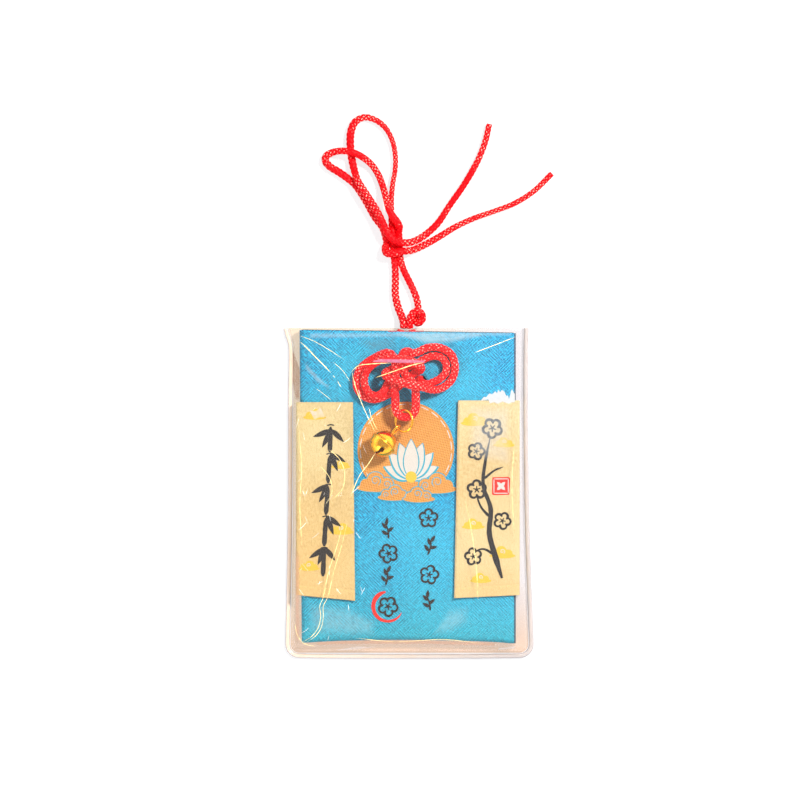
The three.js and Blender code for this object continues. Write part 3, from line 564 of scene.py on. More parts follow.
def even_path(places, step):
    """Points at even steps along the spline through the places."""
    ends = [places[0] * 2 - places[1], *places, places[-1] * 2 - places[-2]]
    shares = [k / PATH_PARTS for k in range(PATH_PARTS)]
    fine = [spline_point(*ends[i:i + 4], share) for i in range(len(ends) - 3) for share in shares]
    fine.append(places[-1].copy())
    reach = [0.0]
    for a, b in zip(fine, fine[1:]):
        reach.append(reach[-1] + (b - a).length)
    count = max(2, round(reach[-1] / step))
    path, at = [], 0
    for i in range(count + 1):
        goal = reach[-1] * i / count
        while at < len(reach) - 2 and reach[at + 1] < goal:
            at += 1
        span = max(reach[at + 1] - reach[at], 1e-9)
        path.append(fine[at].lerp(fine[at + 1], min(1.0, (goal - reach[at]) / span)))
    return path


def direction(path, i):
    return (path[min(i + 1, len(path) - 1)] - path[max(i - 1, 0)]).normalized()


def turning_frames(path):
    """Two directions across the path at each point, carried along without twist."""
    frames = []
    side = direction(path, 0).orthogonal()
    for i in range(len(path)):
        along = direction(path, i)
        side = (side - along * side.dot(along)).normalized()
        frames.append((side, along.cross(side)))
    return frames


def grid_faces(rows, columns, closed=False):
    faces = []
    for i in range(rows - 1):
        a, b = i * columns, (i + 1) * columns
        for j in range(columns if closed else columns - 1):
            k = (j + 1) % columns
            faces.append([a + j, a + k, b + k, b + j])
    return faces


def tube_faces(rings, sides):
    last = (rings - 1) * sides
    return grid_faces(rings, sides, True) + [list(range(sides))[::-1], [last + j for j in range(sides)]]


def tube(name, path, radius, sides, look, body, slot, flat=1.0):
    """A wire along a path. Its radius is a function of the share of its length."""
    points = []
    for i, (point, (side, up)) in enumerate(zip(path, turning_frames(path))):
        r = radius(i / (len(path) - 1))
        for j in range(sides):
            turn = 2 * math.pi * j / sides
            offset = side * math.cos(turn) + up * math.sin(turn)
            points.append(point + Vector((offset.x, offset.y, offset.z * flat)) * r)
    return new_piece(name, points, tube_faces(len(path), sides), look, body, slot)


def sheet_shell(middle, thickness):
    """A closed sheet of even thickness over a grid of middle points."""
    rows, columns = len(middle), len(middle[0])
    normals = []
    for i in range(rows):
        for j in range(columns):
            along = middle[i][min(j + 1, columns - 1)] - middle[i][max(j - 1, 0)]
            up = middle[min(i + 1, rows - 1)][j] - middle[max(i - 1, 0)][j]
            normals.append(along.cross(up).normalized() * (thickness / 2))
    flat = [p for row in middle for p in row]
    count = len(flat)
    points = [p + n for p, n in zip(flat, normals)] + [p - n for p, n in zip(flat, normals)]
    faces = grid_faces(rows, columns)
    faces += [[count + v for v in reversed(face)] for face in faces]
    rim = [*range(columns), *(i * columns + columns - 1 for i in range(1, rows))]
    rim += [(rows - 1) * columns + j for j in range(columns - 2, -1, -1)]
    rim += [i * columns for i in range(rows - 2, 0, -1)]
    return points, faces + [[b, a, count + a, count + b] for a, b in zip(rim, rim[1:] + rim[:1])]


# Cords

BRAID_SIDES = 36
BRAID_STEP = 0.15 * MM
BRAID_PITCH = 1.08 * MM
# The cord's unevenness, how many waves of it a metre holds, and how many steps its ends close over.
CORD_SLACK = 0.03
CORD_WAVES = 400
CORD_CLOSE = 4


def braid_height(around, along):
    """The braid's relief: in each lozenge one of the two sets of strands lies on top."""
    first, second = around + along, around - along
    own, across = first % 1, second % 1
    if (math.floor(first) + math.floor(second)) % 2:
        own, across = across, own
    arch = math.sqrt(max(0.0, 1 - (2 * across - 1) ** 2))
    return arch * (0.45 + 0.55 * math.sin(math.pi * own))


def braided_cord(name, places, diameter, widths):
    """A cord along a route, with its braid in the mesh. The hollow braid narrows where it is pulled."""
    path = even_path(places, BRAID_STEP)
    end = len(path) - 1
    points, crowns, uvs = [], [], []
    for i, (point, (side, up)) in enumerate(zip(path, turning_frames(path))):
        along = i * BRAID_STEP / BRAID_PITCH
        slack = read_table(widths, i / end) * (1 + CORD_SLACK * noise.noise(point * CORD_WAVES))
        close = 0.75 + 0.25 * min(1.0, (min(i, end - i) + 1.5) / CORD_CLOSE)
        for j in range(BRAID_SIDES):
            turn = 2 * math.pi * j / BRAID_SIDES
            crown = braid_height(j / BRAID_SIDES * BRAID_STRANDS, along)
            radius = diameter / 2 * slack * (0.85 + 0.19 * crown) * close
            points.append(point + (side * math.cos(turn) + up * math.sin(turn)) * radius)
            crowns.append(crown)
            uvs.append((j / BRAID_SIDES, along))
    piece = new_piece(name, points, tube_faces(len(path), BRAID_SIDES), "cord", "amulet", "braided_cord")
    piece.data.attributes.new("crown", "FLOAT", "POINT").data.foreach_set("value", crowns)
    uv_layer = piece.data.uv_layers.new(name="UVMap")
    for polygon in piece.data.polygons:
        corner_uvs = [uvs[v] for v in polygon.vertices]
        wraps = max(u for u, v in corner_uvs) - min(u for u, v in corner_uvs) > 0.5
        for loop, (u, v) in zip(polygon.loop_indices, corner_uvs):
            uv_layer.data[loop].uv = (u + 1 if wraps and u < 0.5 else u, v)
    return piece, path


def from_mouth(route, base, rest):
    """A route's places in metres. One that gives no height lies at the cord's height of rest."""
    places = [(x, y, z[0] if z else rest) for x, y, *z in route]
    return [Vector((x * MM, MOUTH + y * MM, base + z * MM)) for x, y, z in places]


def make_cords():
    bend = [(x, y, BEND_LIFT) for x, y in arc(*BEND_PLACE, BEND_RADIUS, 0, -180, BEND_STEPS)]
    places = from_mouth(KNOT_IN + bend + KNOT_OUT, CLOTH_TOP, KNOT_REST)
    knot, _ = braided_cord("knot_cord", places, KNOT_DIAMETER, KNOT_WIDTHS)
    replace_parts(knot, "front_knot_cord")
    for name, node, route, length, widths in (
        ("left_strand", "left_cord", LEFT_ROUTE, LEFT_LENGTH, LEFT_WIDTHS),
        ("right_strand", "right_cord", RIGHT_ROUTE, RIGHT_LENGTH, RIGHT_WIDTHS),
    ):
        places = from_mouth(route, 0, STRAND_REST)
        strand, path = braided_cord(name, places, CORD_DIAMETER, widths)
        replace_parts(strand, node)


make_cords()


# Clear sleeve

HALF_WIDTH = (SLEEVE_HIGH.x - SLEEVE_LOW.x) / 2
HALF_HEIGHT = (SLEEVE_HIGH.y - SLEEVE_LOW.y) / 2
CORNER_RADIUS = 3.2 * MM
BEAD_WIDTH = 1.1 * MM
BEAD_HEIGHT = 0.95 * MM
FILM_INSET = BEAD_WIDTH + 0.2 * MM
WALL_REACH = 0.6 * MM
FOOT_REACH = 2.2 * MM
FILM_RIM = 0.55 * MM
WALL_TOP = FLAP_TOP + 0.45 * MM
TENT_HEIGHT = 6 * MM
TENT_FULL_FROM_MOUTH = 32.5 * MM
TENT_GONE_FROM_MOUTH = 68.5 * MM
FILM_SLACK = 0.16 * MM
FILM_WAVES = 130
FILM_STEP = 0.5 * MM
BEAD_STEP = 0.4 * MM
CREASE_STEP = 0.3 * MM
CREASE_SPREAD = 1.6 * MM
FACET_ROWS = 10
FACET_STEP = 0.25
FACET_LIFT = 0.14 * MM
SCRATCHES = 34
SCRATCH_TURNS = (-62, -55, 40, 52, 78, -80)
# Height, left edge and right edge, as shares of half the sleeve's sides.
EDGE_SHARES = [
    (-0.9, -0.985, 1), (-0.2, -0.968, 0.968), (0.56, -0.964, 0.955),
    (0.9, -0.964, 0.957), (0.955, -0.985, 0.959), (1, -1, 0.96),
]
WALL_SHARES = [(0, 0), (0.28, 0.03), (0.46, 0.16), (0.54, 0.5), (0.64, 0.86), (1, 1)]
TENT_SHARES = [(0, 1), (0.2, 1), (0.38, 0.98), (0.52, 0.86), (0.75, 0.42), (0.92, 0.09), (1, 0)]
# Creases of the film: width and height of the fold, then its places, all in millimetres.
CREASES = [
    (0.5, 0.4, [(-24.9, 34.8), (-23, 33), (-21.4, 31.3), (-19.5, 29.4), (-17.8, 27.6)]),
    (0.4, 0.26, [(-17.4, 27.1), (-16.9, 26.5)]),
    (0.4, 0.3, [(-16.3, 25.7), (-15.9, 25), (-15.5, 24.4)]),
    (0.4, 0.14, [(-25, 36.2), (-21.5, 34.8), (-17.4, 32.4), (-14.7, 30.6)]),
    (0.4, 0.12, [(-17.4, 30.2), (-15.2, 28.2), (-13.4, 25.6)]),
    (0.4, 0.1, [(-21.2, 24), (-19.3, 22.6), (-17.8, 21.4)]),
    (0.5, 0.2, [(24.6, 35.9), (20, 34.1), (15, 32.2)]),
    (0.5, 0.3, [(-13.2, 27.8), (-11.6, 29.2), (-8.4, 29.7), (-3.8, 29.9)]),
    (0.7, 0.35, [(-7.7, 26.5), (-3.1, 28.1), (0.8, 29.4), (3.8, 30.1)]),
    (0.5, 0.28, [(-13, 27.8), (-12.3, 24.8), (-10.7, 20.5), (-7.7, 14)]),
    (0.4, 0.2, [(-9.1, 19.6), (-8.4, 17), (-7.2, 14.5)]),
    (0.6, 0.3, [(-7.5, 9.4), (-9.3, 6.6), (-11.2, 4.1), (-13.5, -1.2)]),
    (0.4, 0.22, [(-14.9, -6.2), (-16.3, -11.7), (-18.3, -17.9), (-19.8, -24.5), (-20.4, -25.9),
                 (-20.2, -28.4), (-20.8, -31), (-22.3, -33), (-24.5, -34.4)]),
    (0.4, 0.2, [(-14, -6.4), (-15.3, -11.8), (-17.2, -18.2), (-18.6, -24), (-19.6, -26), (-19.6, -28.4),
                (-20.1, -31), (-21.5, -33), (-23.7, -34.5)]),
    (0.6, 0.2, [(13, -1.6), (14, -6), (14.8, -10.8), (15.6, -17), (16, -24.6)]),
    (0.5, 0.22, [(-18.5, 10.2), (-15.9, 7.8), (-14.7, 4.6), (-15.2, 1), (-17.5, -1.6)]),
    (0.4, 0.18, [(-20.5, 6.4), (-18.2, 3.6), (-17.6, 0.4), (-19.2, -3)]),
    (0.5, 0.2, [(-26.1, -30), (-25.6, -32.6), (-24, -34.6), (-21.4, -35.3)]),
    (0.5, 0.16, [(-25.2, 14), (-24.6, 6), (-25, -3), (-24.5, -12)]),
    (0.5, 0.15, [(24.4, 12), (23.8, 2), (24.3, -9)]),
    (0.5, 0.16, [(-12, -33.4), (-3, -34.2), (8, -33.7), (17, -34.6)]),
]
# Facets that show as patches of light: name, upper line, lower line, look and soft rim, in millimetres.
FACETS = [
    ("glare_right",
     [(16.7, 21.4), (17.4, 22.2), (17.8, 22), (18.6, 23), (19.3, 22.8), (19.9, 23.5), (20.4, 23.1),
      (20.6, 24), (21.1, 23.3), (21.5, 23.9), (22.1, 23.4), (22.5, 22.3), (22.9, 22.6), (23.2, 21.3),
      (23.5, 23.6), (23.9, 24), (24.3, 22.9), (24.6, 23.1)],
     [(16.7, 21.2), (18.4, 21.5), (18.6, 20.5), (19.6, 20.8), (20.6, 20.4), (21.6, 20.9), (23, 20.5),
      (24.6, 20.9)], "glare", 0.06),
    ("band_lilac",
     [(-8.3, 30.4), (-6.4, 30.9), (0, 30.75), (3.8, 30.5)],
     [(-8.3, 30.1), (-6, 30), (-1, 29.85), (3.8, 29.95)], "lilac", 0.2),
    ("pale_reflection_right", [(13.5, 20.5), (24, 20.5)], [(13.5, 8), (24, 6)], "pale_reflection", 2.6),
    ("pale_reflection_left",
     [(-24, 30.5), (-21, 27.4), (-18, 24.6)],
     [(-24, 28.5), (-21, 25.2), (-18, 23.6)], "pale_reflection", 1),
    ("glare_left",
     [(-22.8, 19.2), (-21.4, 18.9), (-20.2, 19.7), (-19.2, 17.6)],
     [(-22.8, 19), (-21.7, 16.8), (-20.5, 17.3), (-19.2, 17.3)], "rose_glint", 0.3),
    ("pale_reflection_mouth", [(-23, 37.1), (24, 37.3)], [(-23, 35.3), (24, 35.9)], "pale_reflection", 0.9),
    ("cyan_reflection_mouth", [(-3, 37.2), (17, 37.3)], [(-3, 36), (4, 34), (10, 34.3), (17, 35.6)], "haze", 1.3),
    ("faint_reflection_foot", [(5, -32.6), (9.3, -26), (14.4, -25.4)], [(5, -33.2), (10, -32.8), (14.4, -30)], "faint_reflection", 3),
    ("faint_reflection_left",
     [(-23.6, -24.4), (-14, -25.6), (-7, -29)],
     [(-23.6, -33), (-14, -33.6), (-7, -33.4)], "faint_reflection", 3),
    ("glint_foot_left",
     [(-16.5, -35.9), (-12, -35.2), (-7.5, -35.3)],
     [(-16.5, -36.3), (-12, -36.1), (-7.5, -35.5)], "rose_glint", 0.3),
    ("glint_foot_right", [(20.6, -35.5), (24.6, -35.1)], [(20.6, -36.2), (24.6, -35.9)], "rose_glint", 0.3),
    ("grey_reflection_knot", [(-12, 36.4), (-2, 37)], [(-12, 34), (-8, 31.5), (-2, 33)], "grey_reflection", 2.4),
    ("tan_left",
     [(-27.2, 33.4), (-26.4, 32.6), (-25.6, 30.6), (-24.9, 28.4)],
     [(-27.2, 32.6), (-26.6, 25), (-26, 21.2), (-24.9, 21.2)], "tan", 0.35),
    ("mouth_red", [(-4.8, 37.45), (3.6, 37.5)], [(-4.8, 36.95), (3.6, 37)], "blush", 0.2),
    ("salmon_left", [(-26.2, -12), (-24.9, -14)], [(-26.2, -34.5), (-24.9, -34.5)], "salmon", 0.5),
    ("salmon_foot",
     [(-21, -34.2), (-14, -33.8), (4, -33.8), (20, -34.3)],
     [(-21, -35.1), (-14, -34.9), (4, -34.9), (20, -35.3)], "salmon", 0.45),
]


def soft_table(rows, at, spread=0.07):
    """The table with its corners rounded off."""
    return sum(read_table(rows, at + spread * k / 3) for k in range(-3, 4)) / 7


def sleeve_side(side, y, inset):
    """The sleeve's side at a height, moved in by an inset and rounded at the bottom corner."""
    share = read_table(EDGE_SHARES, y / HALF_HEIGHT, 1 if side < 0 else 2)
    straight = share * HALF_WIDTH - side * inset
    radius = CORNER_RADIUS - inset
    above = y + HALF_HEIGHT - inset
    if above >= radius:
        return straight
    drop = radius - max(above, 0)
    return straight - side * (radius - math.sqrt(max(radius * radius - drop * drop, 0)))


def film_line(places):
    """Even points along a line on the film, given in millimetres."""
    return even_path([Vector((x * MM, y * MM, 0)) for x, y in places], CREASE_STEP)


def crease_tree():
    """All crease places in one search tree, with the fold's width and height of each."""
    spots = []
    for width, height, places in CREASES:
        line = film_line(places)
        for i, point in enumerate(line):
            ends = min(1.0, min(i, len(line) - 1 - i) / 8)
            spots.append((point, width * MM, height * MM * ends))
    tree = kdtree.KDTree(len(spots))
    for i, (point, _, _) in enumerate(spots):
        tree.insert(point, i)
    tree.balance()
    return tree, spots


CREASE_TREE, CREASE_SPOTS = crease_tree()


def fold_height(x, y):
    folds = [0.0]
    for _, index, distance in CREASE_TREE.find_range(Vector((x, y, 0)), CREASE_SPREAD):
        _, width, height = CREASE_SPOTS[index]
        folds.append(height * math.exp(-(distance / width) ** 2))
    return max(folds)


def film_height(x, y):
    """Height of the front film's middle layer."""
    from_side = min(x - sleeve_side(-1, y, FILM_INSET), sleeve_side(1, y, FILM_INSET) - x)
    half = HALF_WIDTH - FILM_INSET
    side = read_table(WALL_SHARES, from_side / WALL_REACH)
    foot = read_table(WALL_SHARES, (y + HALF_HEIGHT - FILM_INSET) / FOOT_REACH)
    across = min(1.0, max(0.0, (half - from_side) / (half - WALL_REACH)))
    down = 1 - smoothstep(MOUTH - y, TENT_FULL_FROM_MOUTH, TENT_GONE_FROM_MOUTH)
    tent = TENT_HEIGHT * soft_table(TENT_SHARES, across) * down
    slack = FILM_SLACK * noise.noise(Vector((x, y, 0)) * FILM_WAVES)
    return FILM_RIM + side * foot * (WALL_TOP - FILM_RIM + tent + fold_height(x, y) + slack)


def stations(length, reach, both_ends):
    """Distances along a line that crowd the wall at its start, or at both its ends."""
    near = [share * reach for share, _ in WALL_SHARES]
    far = [length - d for d in reversed(near)] if both_ends else [length]
    end = far[0]
    count = round((end - reach) / FILM_STEP)
    return near + [lerp(reach, end, i / count) for i in range(1, count)] + far


def front_film():
    width = 2 * (HALF_WIDTH - FILM_INSET)
    middle = []
    for up in stations(2 * HALF_HEIGHT - FILM_INSET, FOOT_REACH, False):
        y = up + FILM_INSET - HALF_HEIGHT
        left, right = sleeve_side(-1, y, FILM_INSET), sleeve_side(1, y, FILM_INSET)
        row = []
        for along in stations(width, WALL_REACH, True):
            if up < CORNER_RADIUS:
                x = lerp(left, right, along / width)
            else:
                share = smoothstep(along, WALL_REACH, width - WALL_REACH)
                x = lerp(left + along, right - width + along, share)
            row.append(Vector((x, y, film_height(x, y))))
        middle.append(row)
    shell = sheet_shell(middle, FILM_THICKNESS * 0.6)
    film = new_piece("front_film", *shell, "film", "sleeve", "clear_film")
    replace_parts(film, "sleeve_front_film")


def weld_line(inset):
    """The sleeve's edge from the upper left corner, round the foot, to the upper right corner."""
    radius = CORNER_RADIUS - inset
    rows = [share * HALF_HEIGHT for share, _, _ in reversed(EDGE_SHARES)]
    rows = [y for y in rows if y > -HALF_HEIGHT + CORNER_RADIUS]
    rows += [-HALF_HEIGHT + inset + radius * (1 - math.sin(math.pi / 2 * i / 6)) for i in range(7)]
    left, right = [
        [Vector((sleeve_side(side, y, inset), y, BEAD_HEIGHT / 2)) for y in rows] for side in (-1, 1)
    ]
    return left + right[::-1]


def weld_bead():
    """The welded and trimmed edge: a flattened bead with the slight unevenness of a heat weld."""
    path = even_path(weld_line(BEAD_WIDTH / 2), BEAD_STEP)

    def radius(share):
        return BEAD_WIDTH / 2 * (0.97 + 0.05 * noise.noise(Vector((share * 60, 0, 0))))

    bead = tube("weld_bead", path, radius, 16, "bead", "sleeve", "weld_bead", flat=BEAD_HEIGHT / BEAD_WIDTH)
    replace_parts(bead, "sleeve_weld_bead")


def film_mark(name, places, radius, sides, look):
    """A thin raised line along the film's outer face, on places in millimetres."""
    path = [Vector((p.x, p.y, film_height(p.x, p.y) + FILM_THICKNESS * 0.3)) for p in film_line(places)]
    tube(name, path, radius, sides, look, "sleeve", "clear_film", flat=0.5)


def crease_lines():
    """A painted highlight line on each crease's ridge."""
    for seed, (_, height, places) in enumerate(CREASES):
        thick = 0.3 * height * MM + 0.02 * MM

        def radius(share):
            uneven = 0.75 + 0.5 * noise.noise(Vector((share * 14, seed, 0)))
            return thick * uneven * min(1.0, 6 * share + 0.1, 6 * (1 - share) + 0.1)

        film_mark(f"crease_glint_{seed + 1:02d}", places, radius, 6, "crease")


def facet(name, upper, lower, look, soft):
    """A single sheet just over the film, between an upper and a lower line, that fades over a soft rim."""
    low_x, high_x = upper[0][0], upper[-1][0]
    columns = max(12, round((high_x - low_x) / FACET_STEP))
    points, fades = [], []
    for i in range(FACET_ROWS + 1):
        for j in range(columns + 1):
            x = lerp(low_x, high_x, j / columns)
            top, foot = read_table(upper, x), read_table(lower, x)
            y = lerp(foot, top, i / FACET_ROWS)
            points.append((x * MM, y * MM, film_height(x * MM, y * MM) + FACET_LIFT))
            fades.append(smoothstep(min(x - low_x, high_x - x, y - foot, top - y), -0.01, soft))
    piece = new_piece(name, points, grid_faces(FACET_ROWS + 1, columns + 1), look, "sleeve", "clear_film")
    piece.data.attributes.new("fade", "FLOAT", "POINT").data.foreach_set("value", fades)


def scratches():
    """Fine scratches and scuffs of the film, scattered over its left half, drawn as thin lines with a
    painted glint.
    """
    dice = random.Random(11)
    for k in range(SCRATCHES):
        x, y = dice.uniform(-25.5, -9.5), dice.uniform(-34, 24)
        turn = math.radians(dice.choice(SCRATCH_TURNS) + dice.uniform(-12, 12))
        half = dice.uniform(0.3, 1.5)
        across, up, sag = half * math.cos(turn), half * math.sin(turn), 0.08 * half
        places = [(x - across, y - up + sag), (x, y), (x + across, y + up + sag)]
        thick = dice.uniform(0.02, 0.055) * MM

        def radius(share):
            return thick * min(1.0, 4 * share + 0.1, 4 * (1 - share) + 0.1)

        film_mark(f"film_scratch_{k + 1:02d}", places, radius, 5, "scratch")


def dress(node, look):
    """A CAD node that stays on show gets its material."""
    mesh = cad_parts[node].data
    mesh.materials.clear()
    mesh.materials.append(M[look])
    mesh.shade_flat()
    return mesh


front_film()
weld_bead()
crease_lines()
for row in FACETS:
    facet(*row)
scratches()
dress("sleeve_back_film", "back")


# Woven pouch

CLOTH = 0.35 * MM
CLOTH_STEP = 0.9 * MM
CLOTH_SLACK = 0.12 * MM
CLOTH_WAVES = 110
POUCH_MIDDLE = (POUCH_LOW.x + POUCH_HIGH.x) / 2
POUCH_HALF = (POUCH_HIGH.x - POUCH_LOW.x) / 2
POUCH_CENTRE = (POUCH_LOW.y + POUCH_HIGH.y) / 2
POUCH_HALF_HEIGHT = (POUCH_HIGH.y - POUCH_LOW.y) / 2
HOLE_RADIUS = 1.45 * MM
HOLE_DEPTH = 2.2 * MM
HOLE_DRAW = 0.2 * MM
HOLE_DRAW_RADIUS = 2.2 * MM
CORD_HOLES = [(2.75 * MM, MOUTH - 11.9 * MM), (-4.25 * MM, MOUTH - 11.5 * MM)]
# The pouch's foot, as shares of half its height over its width.
FOOT_SHARES = [
    (0, -0.996), (0.06, -0.99), (0.16, -0.984), (0.32, -0.979), (0.5, -0.978), (0.68, -0.981),
    (0.84, -0.987), (0.94, -0.993), (1, -1),
]
# The cloth's turn at an edge: how far in from the edge, and how far below the top.
EDGE_TURN = [(d * MM, drop * MM) for d, drop in (
    (0, 2.2), (0, 1.5), (0.01, 0.9), (0.12, 0.5), (0.36, 0.2), (0.65, 0.05), (1, 0),
)]
EDGE_IN, EDGE_DROP = EDGE_TURN[-1][0], EDGE_TURN[0][1]


def pouch_place(across, up, inset_left, inset_right, inset_foot):
    """A point of the pouch's outline grid, by shares and by distances from its edges."""
    foot = POUCH_CENTRE + POUCH_HALF_HEIGHT * read_table(FOOT_SHARES, across) + inset_foot
    top = POUCH_CENTRE + POUCH_HALF_HEIGHT * lerp(1, 0.98, across)
    left = POUCH_MIDDLE - POUCH_HALF * lerp(0.98, 1, up) + inset_left
    right = POUCH_MIDDLE + POUCH_HALF - inset_right
    return lerp(left, right, across), lerp(foot, top, up)


def cloth_height(x, y):
    """The front cloth's outer face: nearly flat, drawn in round the cord's holes, slack between."""
    dip = sum(math.exp(-((x - hx) ** 2 + (y - hy) ** 2) / HOLE_DRAW_RADIUS ** 2) for hx, hy in CORD_HOLES)
    slack = 0.5 + 0.5 * noise.noise(Vector((x, y, 0)) * CLOTH_WAVES)
    return CLOTH_TOP - CLOTH_SLACK * slack - HOLE_DRAW * min(dip, 1)


def front_cloth():
    columns = round(2 * POUCH_HALF / CLOTH_STEP)
    rows = round(2 * POUCH_HALF_HEIGHT / CLOTH_STEP)
    cells_x = [(0, d, 0, drop) for d, drop in EDGE_TURN]
    cells_x += [(i / columns, EDGE_IN, EDGE_IN, 0) for i in range(1, columns)]
    cells_x += [(1, 0, d, drop) for d, drop in reversed(EDGE_TURN)]
    cells_y = [(0, d, drop) for d, drop in EDGE_TURN]
    cells_y += [(i / rows, EDGE_IN, 0) for i in range(1, rows + 1)]
    middle = []
    for up, foot, foot_drop in cells_y:
        row = []
        for across, left, right, side_drop in cells_x:
            x, y = pouch_place(across, up, left, right, foot)
            drop = min(EDGE_DROP, math.hypot(foot_drop, side_drop))
            row.append(Vector((x, y, cloth_height(x, y) - CLOTH / 2 - drop)))
        middle.append(row)
    cloth = new_piece("front_cloth", *sheet_shell(middle, CLOTH), "brocade", "amulet", "brocade")
    work = bmesh.new()
    for x, y in CORD_HOLES:
        cylinder(work, HOLE_RADIUS, HOLE_DEPTH, Matrix.Translation((x, y, CLOTH_TOP - 0.1 * MM)), 40)
    subtract(cloth, work)
    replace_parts(cloth, "pouch_front_cloth")


def cylinder(work, radius, depth, place, segments):
    bmesh.ops.create_cone(
        work, cap_ends=True, segments=segments, radius1=radius, radius2=radius, depth=depth, matrix=place,
    )


def subtract(piece, work):
    """Cuts the working mesh out of the piece."""
    tool = linked("cutter", mesh_of("cutter", work))
    cut = piece.modifiers.new("cut", "BOOLEAN")
    cut.operation = "DIFFERENCE"
    cut.solver = "EXACT"
    cut.use_self = True
    cut.object = tool
    bpy.context.view_layer.update()
    evaluated = piece.evaluated_get(bpy.context.evaluated_depsgraph_get())
    mesh = bpy.data.meshes.new_from_object(evaluated)
    piece.modifiers.clear()
    piece.data = mesh
    bpy.data.objects.remove(tool)


front_cloth()
dress("pouch_back_cloth", "lining")
dress("stiffener_card", "card")
dress("paper_talisman", "slip")


# Wrap band

BAND_CLOTH = 0.28 * MM
HEM_DEPTH = 2.4 * MM
FLAP_MIDDLE = FLAP_TOP - BAND_CLOTH / 2
BACK_MIDDLE = BAND_LOW.z + BAND_CLOTH / 2
BACK_INSET = 0.5 * MM
BAND_SIDE = -0.35 * MM
BAND_TURN = 0.3 * MM
FLAP_LIFT = 0.45 * MM
FLAP_LIFT_REACH = 1.3 * MM
HEM_RISE = 0.06 * MM
HEM_GROOVE = 0.07 * MM
HEM_EDGE = 0.2 * MM
BAND_SLACK = 0.05 * MM
BAND_WAVES = 160
# For each flap: inner edge at the top and at the foot, foot's height inside and outside, top's height.
FLAPS = {
    -1: dict(inner=(-12.8 * MM, -12.3 * MM), foot=(-24.8 * MM, -23.5 * MM), top=20.9 * MM),
    1: dict(inner=(11.4 * MM, 10.5 * MM), foot=(-24.2 * MM, -23.5 * MM), top=21.3 * MM),
}
FLAP_COLUMNS = 20
FLAP_ROWS = 44
BACK_COLUMNS = 30
HEM_ROWS = [0, 0.15, 0.5, 1.2, 1.9, 2.2, 2.4, 2.6, 3]
HEM_STITCHES = 11


def band_edge(side):
    return (BAND_HIGH.x if side > 0 else BAND_LOW.x) - side * BAND_SIDE


def flap_point(side, across, up):
    """A point of a flap: across from its inner edge to the pouch's side, up from its foot to its top."""
    flap = FLAPS[side]
    foot = lerp(*flap["foot"], across)
    inner = lerp(*flap["inner"][::-1], up)
    return lerp(inner, band_edge(side) - side * 0.2 * MM, across), lerp(foot, flap["top"], up), foot


def flap_height(side, x, y, foot):
    """The flap's middle layer: its inner edge lifts, its hem is double, and it is a little slack."""
    flap = FLAPS[side]
    away = abs(x - lerp(*flap["inner"][::-1], (y - foot) / (flap["top"] - foot)))
    lift = FLAP_LIFT * math.exp(-away / FLAP_LIFT_REACH) * (0.7 + 0.3 * math.sin(y / (7 * MM)))
    hem = HEM_RISE * (1 - smoothstep(y - foot, HEM_DEPTH - HEM_EDGE, HEM_DEPTH))
    groove = HEM_GROOVE * math.exp(-((y - foot - HEM_DEPTH) / HEM_EDGE) ** 2)
    slack = BAND_SLACK * noise.noise(Vector((x, y, side)) * BAND_WAVES)
    return FLAP_MIDDLE + lift + hem - groove + slack


def flap_row(side, up):
    """A flap's points from its inner edge to the pouch's side."""
    row = []
    for i in range(FLAP_COLUMNS + 1):
        x, y, foot = flap_point(side, i / FLAP_COLUMNS, up)
        row.append(Vector((x, y, flap_height(side, x, y, foot))))
    return row


def band_turn(side, y):
    """The band's way down a side of the pouch, from the front to the back."""
    edge = band_edge(side)
    inner = edge - side * BAND_TURN
    front, back = FLAP_MIDDLE - BAND_TURN, BACK_MIDDLE + BAND_TURN
    turns = [math.pi / 8 * i for i in range(5)]
    places = [(lerp(inner, edge, math.sin(t)), front + BAND_TURN * math.cos(t)) for t in turns[1:]]
    places += [(edge, lerp(front, back, i / 4)) for i in range(1, 4)]
    places += [(lerp(inner, edge, math.cos(t)), back - BAND_TURN * math.sin(t)) for t in turns]
    return [Vector((x, y, z)) for x, z in places]


def wrap_band():
    """One strip of cloth round the back of the pouch, with its two ends on the front."""
    hem = [row * MM / (BAND_HIGH.y - BAND_LOW.y) for row in HEM_ROWS]
    middle = []
    for up in hem + [lerp(hem[-1], 1, i / FLAP_ROWS) for i in range(1, FLAP_ROWS + 1)]:
        left, right = flap_row(-1, up), flap_row(1, up)
        left_y, right_y = left[-1].y, right[-1].y
        back = []
        for i in range(1, BACK_COLUMNS):
            share = i / BACK_COLUMNS
            x = lerp(BAND_LOW.x + BACK_INSET, BAND_HIGH.x - BACK_INSET, share)
            back.append(Vector((x, lerp(left_y, right_y, share), BACK_MIDDLE)))
        middle.append(left + band_turn(-1, left_y) + back + band_turn(1, right_y)[::-1] + right[::-1])
    points, faces = sheet_shell(middle, -BAND_CLOTH)
    band = new_piece("cloth_band", points, [face[::-1] for face in faces], "band", "amulet", "band_cloth")
    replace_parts(band, "wrap_band")


wrap_band()


# Ring, bell and clapper; openings in degrees

